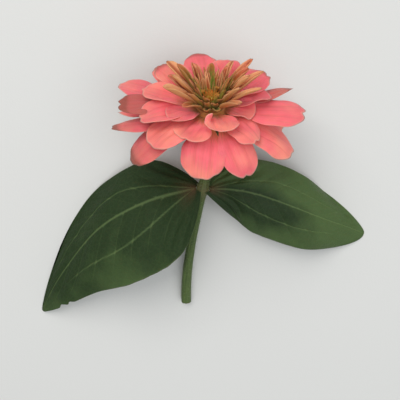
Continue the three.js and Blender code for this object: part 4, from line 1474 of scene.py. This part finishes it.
# The floor's rings and how far it lies under the flower, the lamps' places from the middle of the
# flower and their sizes, all in metres, with their colours, and the surround's colour.
FLOOR = {"radii": (0.2, 0.6, 1.5, 3), "sides": 96, "drop": 0.0001}
KEY = {"place": (-0.3, 0.65, 0.8), "size": 0.8, "colour": (1, 0.985, 0.96)}
FILL = {"place": (0.35, -0.1, 0.85), "size": 0.9, "colour": (0.95, 0.98, 1)}
SURROUND = (0.93, 0.95, 1.0, 1.0)


def build_floor(settings):
    """A round floor just under the flower: rings of a fan from its centre."""
    angle = round_angles(FLOOR["sides"])
    radius = np.array(FLOOR["radii"], float)[:, None]
    rim = stack(radius * np.cos(angle), radius * np.sin(angle), -FLOOR["drop"]).reshape(-1, 3)
    points = np.concatenate([rim, [[0, 0, -FLOOR["drop"]]]])
    index = np.arange(len(rim)).reshape(len(radius), FLOOR["sides"])
    wrapped = np.concatenate([index, index[:, :1]], axis=1)
    fan = [(len(rim), a, b) for a, b in zip(wrapped[0, :-1], wrapped[0, 1:])]
    faces = [tuple(f) for f in quads_of(wrapped)] + fan
    mesh = bpy.data.meshes.new("floor")
    mesh.from_pydata(points.tolist(), [], faces)
    mesh.materials.append(floor_material(settings))
    floor = bpy.data.objects.new("floor", mesh)
    bpy.context.scene.collection.objects.link(floor)


def build_light(name, kind, centre, power):
    """A soft square lamp of a kind, at its place from the centre and turned to face it."""
    lamp = bpy.data.lights.new(name, "AREA")
    lamp.shape = "SQUARE"
    lamp.size = kind["size"]
    lamp.energy = power
    lamp.color = kind["colour"]
    light = bpy.data.objects.new(name, lamp)
    light.location = centre + Vector(kind["place"])
    direction = centre - light.location
    light.rotation_euler = direction.to_track_quat("-Z", "Y").to_euler()
    bpy.context.scene.collection.objects.link(light)


def build_stage(settings):
    """The floor, two soft lamps, light from all round and a camera that looks down on the flower
    from a place between overhead and the bloom's side."""
    low, high = CAD_BOX
    centre = (low + high) / 2
    build_floor(settings)
    build_light("key", KEY, centre, settings.key)
    build_light("fill", FILL, centre, settings.fill)
    world = bpy.data.worlds.new("studio")
    world.use_nodes = True
    background = world.node_tree.nodes["Background"]
    background.inputs["Color"].default_value = SURROUND
    background.inputs["Strength"].default_value = settings.surround
    bpy.context.scene.world = world
    camera = bpy.data.cameras.new("camera")
    camera.sensor_width = 36
    camera.lens = settings.lens
    camera.clip_start = 0.01
    viewer = bpy.data.objects.new("camera", camera)
    lean = settings.lean
    back = Vector((0, math.sin(lean), math.cos(lean)))
    viewer.location = centre + back * settings.distance
    viewer.rotation_euler = (-lean, 0, 0)
    bpy.context.scene.collection.objects.link(viewer)
    bpy.context.scene.camera = viewer
    bpy.context.scene.view_settings.view_transform = "Standard"


# --------------------------------------------------------------------------------------------
# Settings
# --------------------------------------------------------------------------------------------


def colour_property(name, description, code):
    """A colour that a user can change, with its default written as #rrggbb."""
    return FloatVectorProperty(
        name=name, description=description, subtype="COLOR", size=3, min=0, max=1,
        default=linear(code),
    )


def length_property(name, description, default, most):
    """A length in metres that a user can change."""
    return FloatProperty(
        name=name, description=description, default=default, min=0, max=most, unit="LENGTH",
        precision=5,
    )


class PetalSettings(bpy.types.PropertyGroup):
    """Sizes and colours of the coral rays."""

    thickness: length_property("Thickness", "Thickness of a petal at its foot", 0.0006, 0.002)
    groove: length_property("Grooves", "Depth of the lengthwise grooves", 0.0004, 0.001)
    colour: colour_property("Salmon", "Outer part of a petal", "#ff957f")
    blush: colour_property("Pink", "Middle of a petal", "#ff727b")
    # Painted shade along the grooves, and the colour of the petal's own darker streaks.
    groove_shade_and_streaks: colour_property("Grooves", "Along the grooves", "#d95c58")
    # The rim: the petal's own paler edge and a painted highlight on it.
    rim: colour_property("Rim", "Thin edge of a petal", "#ffbfab")
    # The foot: the petal's own colour and painted shade where it runs under the petals above.
    foot: colour_property("Foot", "Where a petal leaves the head", "#b3743c")
    underside: colour_property("Underside", "Lower face of a petal", "#cd7d66")
    wilted: colour_property("Wilted", "Petals that are turning brown", "#8c4a38")


class YoungSettings(bpy.types.PropertyGroup):
    """Sizes and colours of the young rays."""

    thickness: length_property("Thickness", "Thickness of a young ray", 0.0006, 0.002)
    groove: length_property("Grooves", "Depth of the lengthwise grooves", 0.00018, 0.001)
    colour: colour_property("Tan", "Middle of a young ray", "#c67434")
    tip: colour_property("Tip", "Tip of a young ray", "#ea7f62")
    # The flush: the ray's own rusty colour and painted shade in the hollow of the roll.
    flush: colour_property("Flush", "Flush along the midline", "#a3431f")
    # The rim: the ray's paler edges, partly a painted highlight on them, and the cream of some
    # tips.
    rim: colour_property("Rim", "Edge of a young ray", "#f3b07f")
    foot: colour_property("Foot", "Foot of a young ray", "#82942c")
    underside: colour_property("Underside", "Lower face of a young ray", "#a67c30")


class DiscSettings(bpy.types.PropertyGroup):
    """Counts and colours of the disc."""

    scales: IntProperty(name="Scales", description="Chaffy scales on the disc", default=64, min=8)
    florets: IntProperty(name="Florets", description="Open disc florets", default=3, min=0)
    styles: IntProperty(name="Styles", description="Forked styles of the young rays", default=9)
    colour: colour_property("Scales", "Middle of a scale", "#d3933f")
    foot: colour_property("Foot", "Foot of a scale and of a floret", "#a89c40")
    tip: colour_property("Tips", "Fringe of a scale", "#cc6a2a")
    floret: colour_property("Florets", "Lobes of a floret", "#c08035")


class CupSettings(bpy.types.PropertyGroup):
    """Colours of the cup under the rays."""

    colour: colour_property("Green", "Foot of a bract", "#56692f")
    pale: colour_property("Pale green", "Outer part of a bract", "#7d8c48")
    margin: colour_property("Margin", "Dark edge of a bract", "#3a2a1c")


class GreenSettings(bpy.types.PropertyGroup):
    """Counts and colours of the stem and leaves."""

    hairs: IntProperty(name="Hairs", description="Hairs on the stem", default=1500, min=0)
    stem: colour_property("Stem", "Furrows of the stem", "#3f5226")
    stem_rib: colour_property("Stem ribs", "Ribs of the stem", "#62783c")
    stem_flush: colour_property("Flush", "Rusty flush at the leaves", "#6d4a35")
    pith: colour_property("Pith", "Inside of the stem where it is cut", "#c9cfa4")
    hair: colour_property("Hairs", "Hairs of the stem", "#c8cfae")
    # The two greens are blended by the leaf's own random patches and by painted light and shade.
    leaf: colour_property("Leaf", "Darker patches of a leaf", "#1f3312")
    leaf_patches_and_painted_light: colour_property("Lighter leaf", "Lighter patches of a leaf", "#4b6134")
    leaf_under: colour_property("Underside", "Lower face of a leaf", "#5d7350")
    vein: colour_property("Veins", "Veins and margin of a leaf", "#748a55")


class StageSettings(bpy.types.PropertyGroup):
    """Floor, light and camera."""

    floor: colour_property("Floor", "Colour of the floor", "#dfdfdb")
    key: FloatProperty(name="Key", description="Power of the main lamp", default=6.6, unit="POWER")
    fill: FloatProperty(
        name="Fill", description="Power of the second lamp", default=3.2, unit="POWER"
    )
    surround: FloatProperty(name="Surround", description="Light from all round", default=0.44)
    lens: FloatProperty(name="Lens", description="Focal length, in millimetres", default=58)
    distance: FloatProperty(
        name="Distance", description="Camera to the flower's centre", default=0.3, unit="LENGTH"
    )
    lean: FloatProperty(
        name="Lean", description="The camera's lean from overhead", subtype="ANGLE",
        unit="ROTATION", default=math.radians(13),
    )


class FlowerSettings(bpy.types.PropertyGroup):
    """All of the flower's settings."""

    petals: PointerProperty(type=PetalSettings, name="Petals")
    young: PointerProperty(type=YoungSettings, name="Young rays")
    disc: PointerProperty(type=DiscSettings, name="Disc")
    cup: PointerProperty(type=CupSettings, name="Cup")
    green: PointerProperty(type=GreenSettings, name="Stem and leaves")
    stage: PointerProperty(type=StageSettings, name="Stage")


# --------------------------------------------------------------------------------------------
# Operators and panel
# --------------------------------------------------------------------------------------------


class ZINNIA_OT_petals(bpy.types.Operator):
    """Build the coral petals on their core"""

    bl_idname = "zinnia.petals"
    bl_label = "Petals"

    def execute(self, context):
        build_coral_rays(context.scene.zinnia.petals)
        return {"FINISHED"}


class ZINNIA_OT_young(bpy.types.Operator):
    """Build the young rolled rays round the disc"""

    bl_idname = "zinnia.young"
    bl_label = "Young rays"

    def execute(self, context):
        build_young_rays(context.scene.zinnia.young)
        return {"FINISHED"}


class ZINNIA_OT_disc(bpy.types.Operator):
    """Build the disc's scales, florets and styles"""

    bl_idname = "zinnia.disc"
    bl_label = "Disc"

    def execute(self, context):
        build_disc(context.scene.zinnia.disc)
        return {"FINISHED"}


class ZINNIA_OT_cup(bpy.types.Operator):
    """Build the green cup and its bracts"""

    bl_idname = "zinnia.cup"
    bl_label = "Cup"

    def execute(self, context):
        build_involucre(context.scene.zinnia.cup)
        return {"FINISHED"}


class ZINNIA_OT_stem(bpy.types.Operator):
    """Build the stem and its hairs"""

    bl_idname = "zinnia.stem"
    bl_label = "Stem"

    def execute(self, context):
        build_stem(context.scene.zinnia.green)
        build_hairs(context.scene.zinnia.green)
        return {"FINISHED"}


class ZINNIA_OT_leaves(bpy.types.Operator):
    """Build the pair of leaves"""

    bl_idname = "zinnia.leaves"
    bl_label = "Leaves"

    def execute(self, context):
        build_leaves(context.scene.zinnia.green)
        return {"FINISHED"}


class ZINNIA_OT_stage(bpy.types.Operator):
    """Build the floor, the lights and the camera"""

    bl_idname = "zinnia.stage"
    bl_label = "Stage"

    def execute(self, context):
        build_stage(context.scene.zinnia.stage)
        return {"FINISHED"}


OPERATORS = (
    ZINNIA_OT_petals,
    ZINNIA_OT_young,
    ZINNIA_OT_disc,
    ZINNIA_OT_cup,
    ZINNIA_OT_stem,
    ZINNIA_OT_leaves,
    ZINNIA_OT_stage,
)


class ZINNIA_PT_sidebar(bpy.types.Panel):
    """Lists the flower's settings and the steps that build it"""

    bl_label = "Zinnia flower"
    bl_space_type = "VIEW_3D"
    bl_region_type = "UI"
    bl_category = "Zinnia"

    def draw(self, context):
        settings = context.scene.zinnia
        for group in (
            settings.petals, settings.young, settings.disc, settings.cup, settings.green,
            settings.stage,
        ):
            box = self.layout.box()
            for name in group.__annotations__:
                box.prop(group, name)
        for operator in OPERATORS:
            self.layout.operator(operator.bl_idname)


CLASSES = (
    PetalSettings,
    YoungSettings,
    DiscSettings,
    CupSettings,
    GreenSettings,
    StageSettings,
    FlowerSettings,
    *OPERATORS,
    ZINNIA_PT_sidebar,
)


def register():
    for made in CLASSES:
        bpy.utils.register_class(made)
    bpy.types.Scene.zinnia = PointerProperty(type=FlowerSettings)


def unregister():
    del bpy.types.Scene.zinnia
    for made in reversed(CLASSES):
        bpy.utils.unregister_class(made)


def main():
    """Builds the stage and the flower."""
    register()
    bpy.ops.zinnia.stage()
    bpy.ops.zinnia.leaves()
    bpy.ops.zinnia.stem()
    bpy.ops.zinnia.cup()
    bpy.ops.zinnia.petals()
    bpy.ops.zinnia.young()
    bpy.ops.zinnia.disc()


if __name__ == "__main__":
    main()
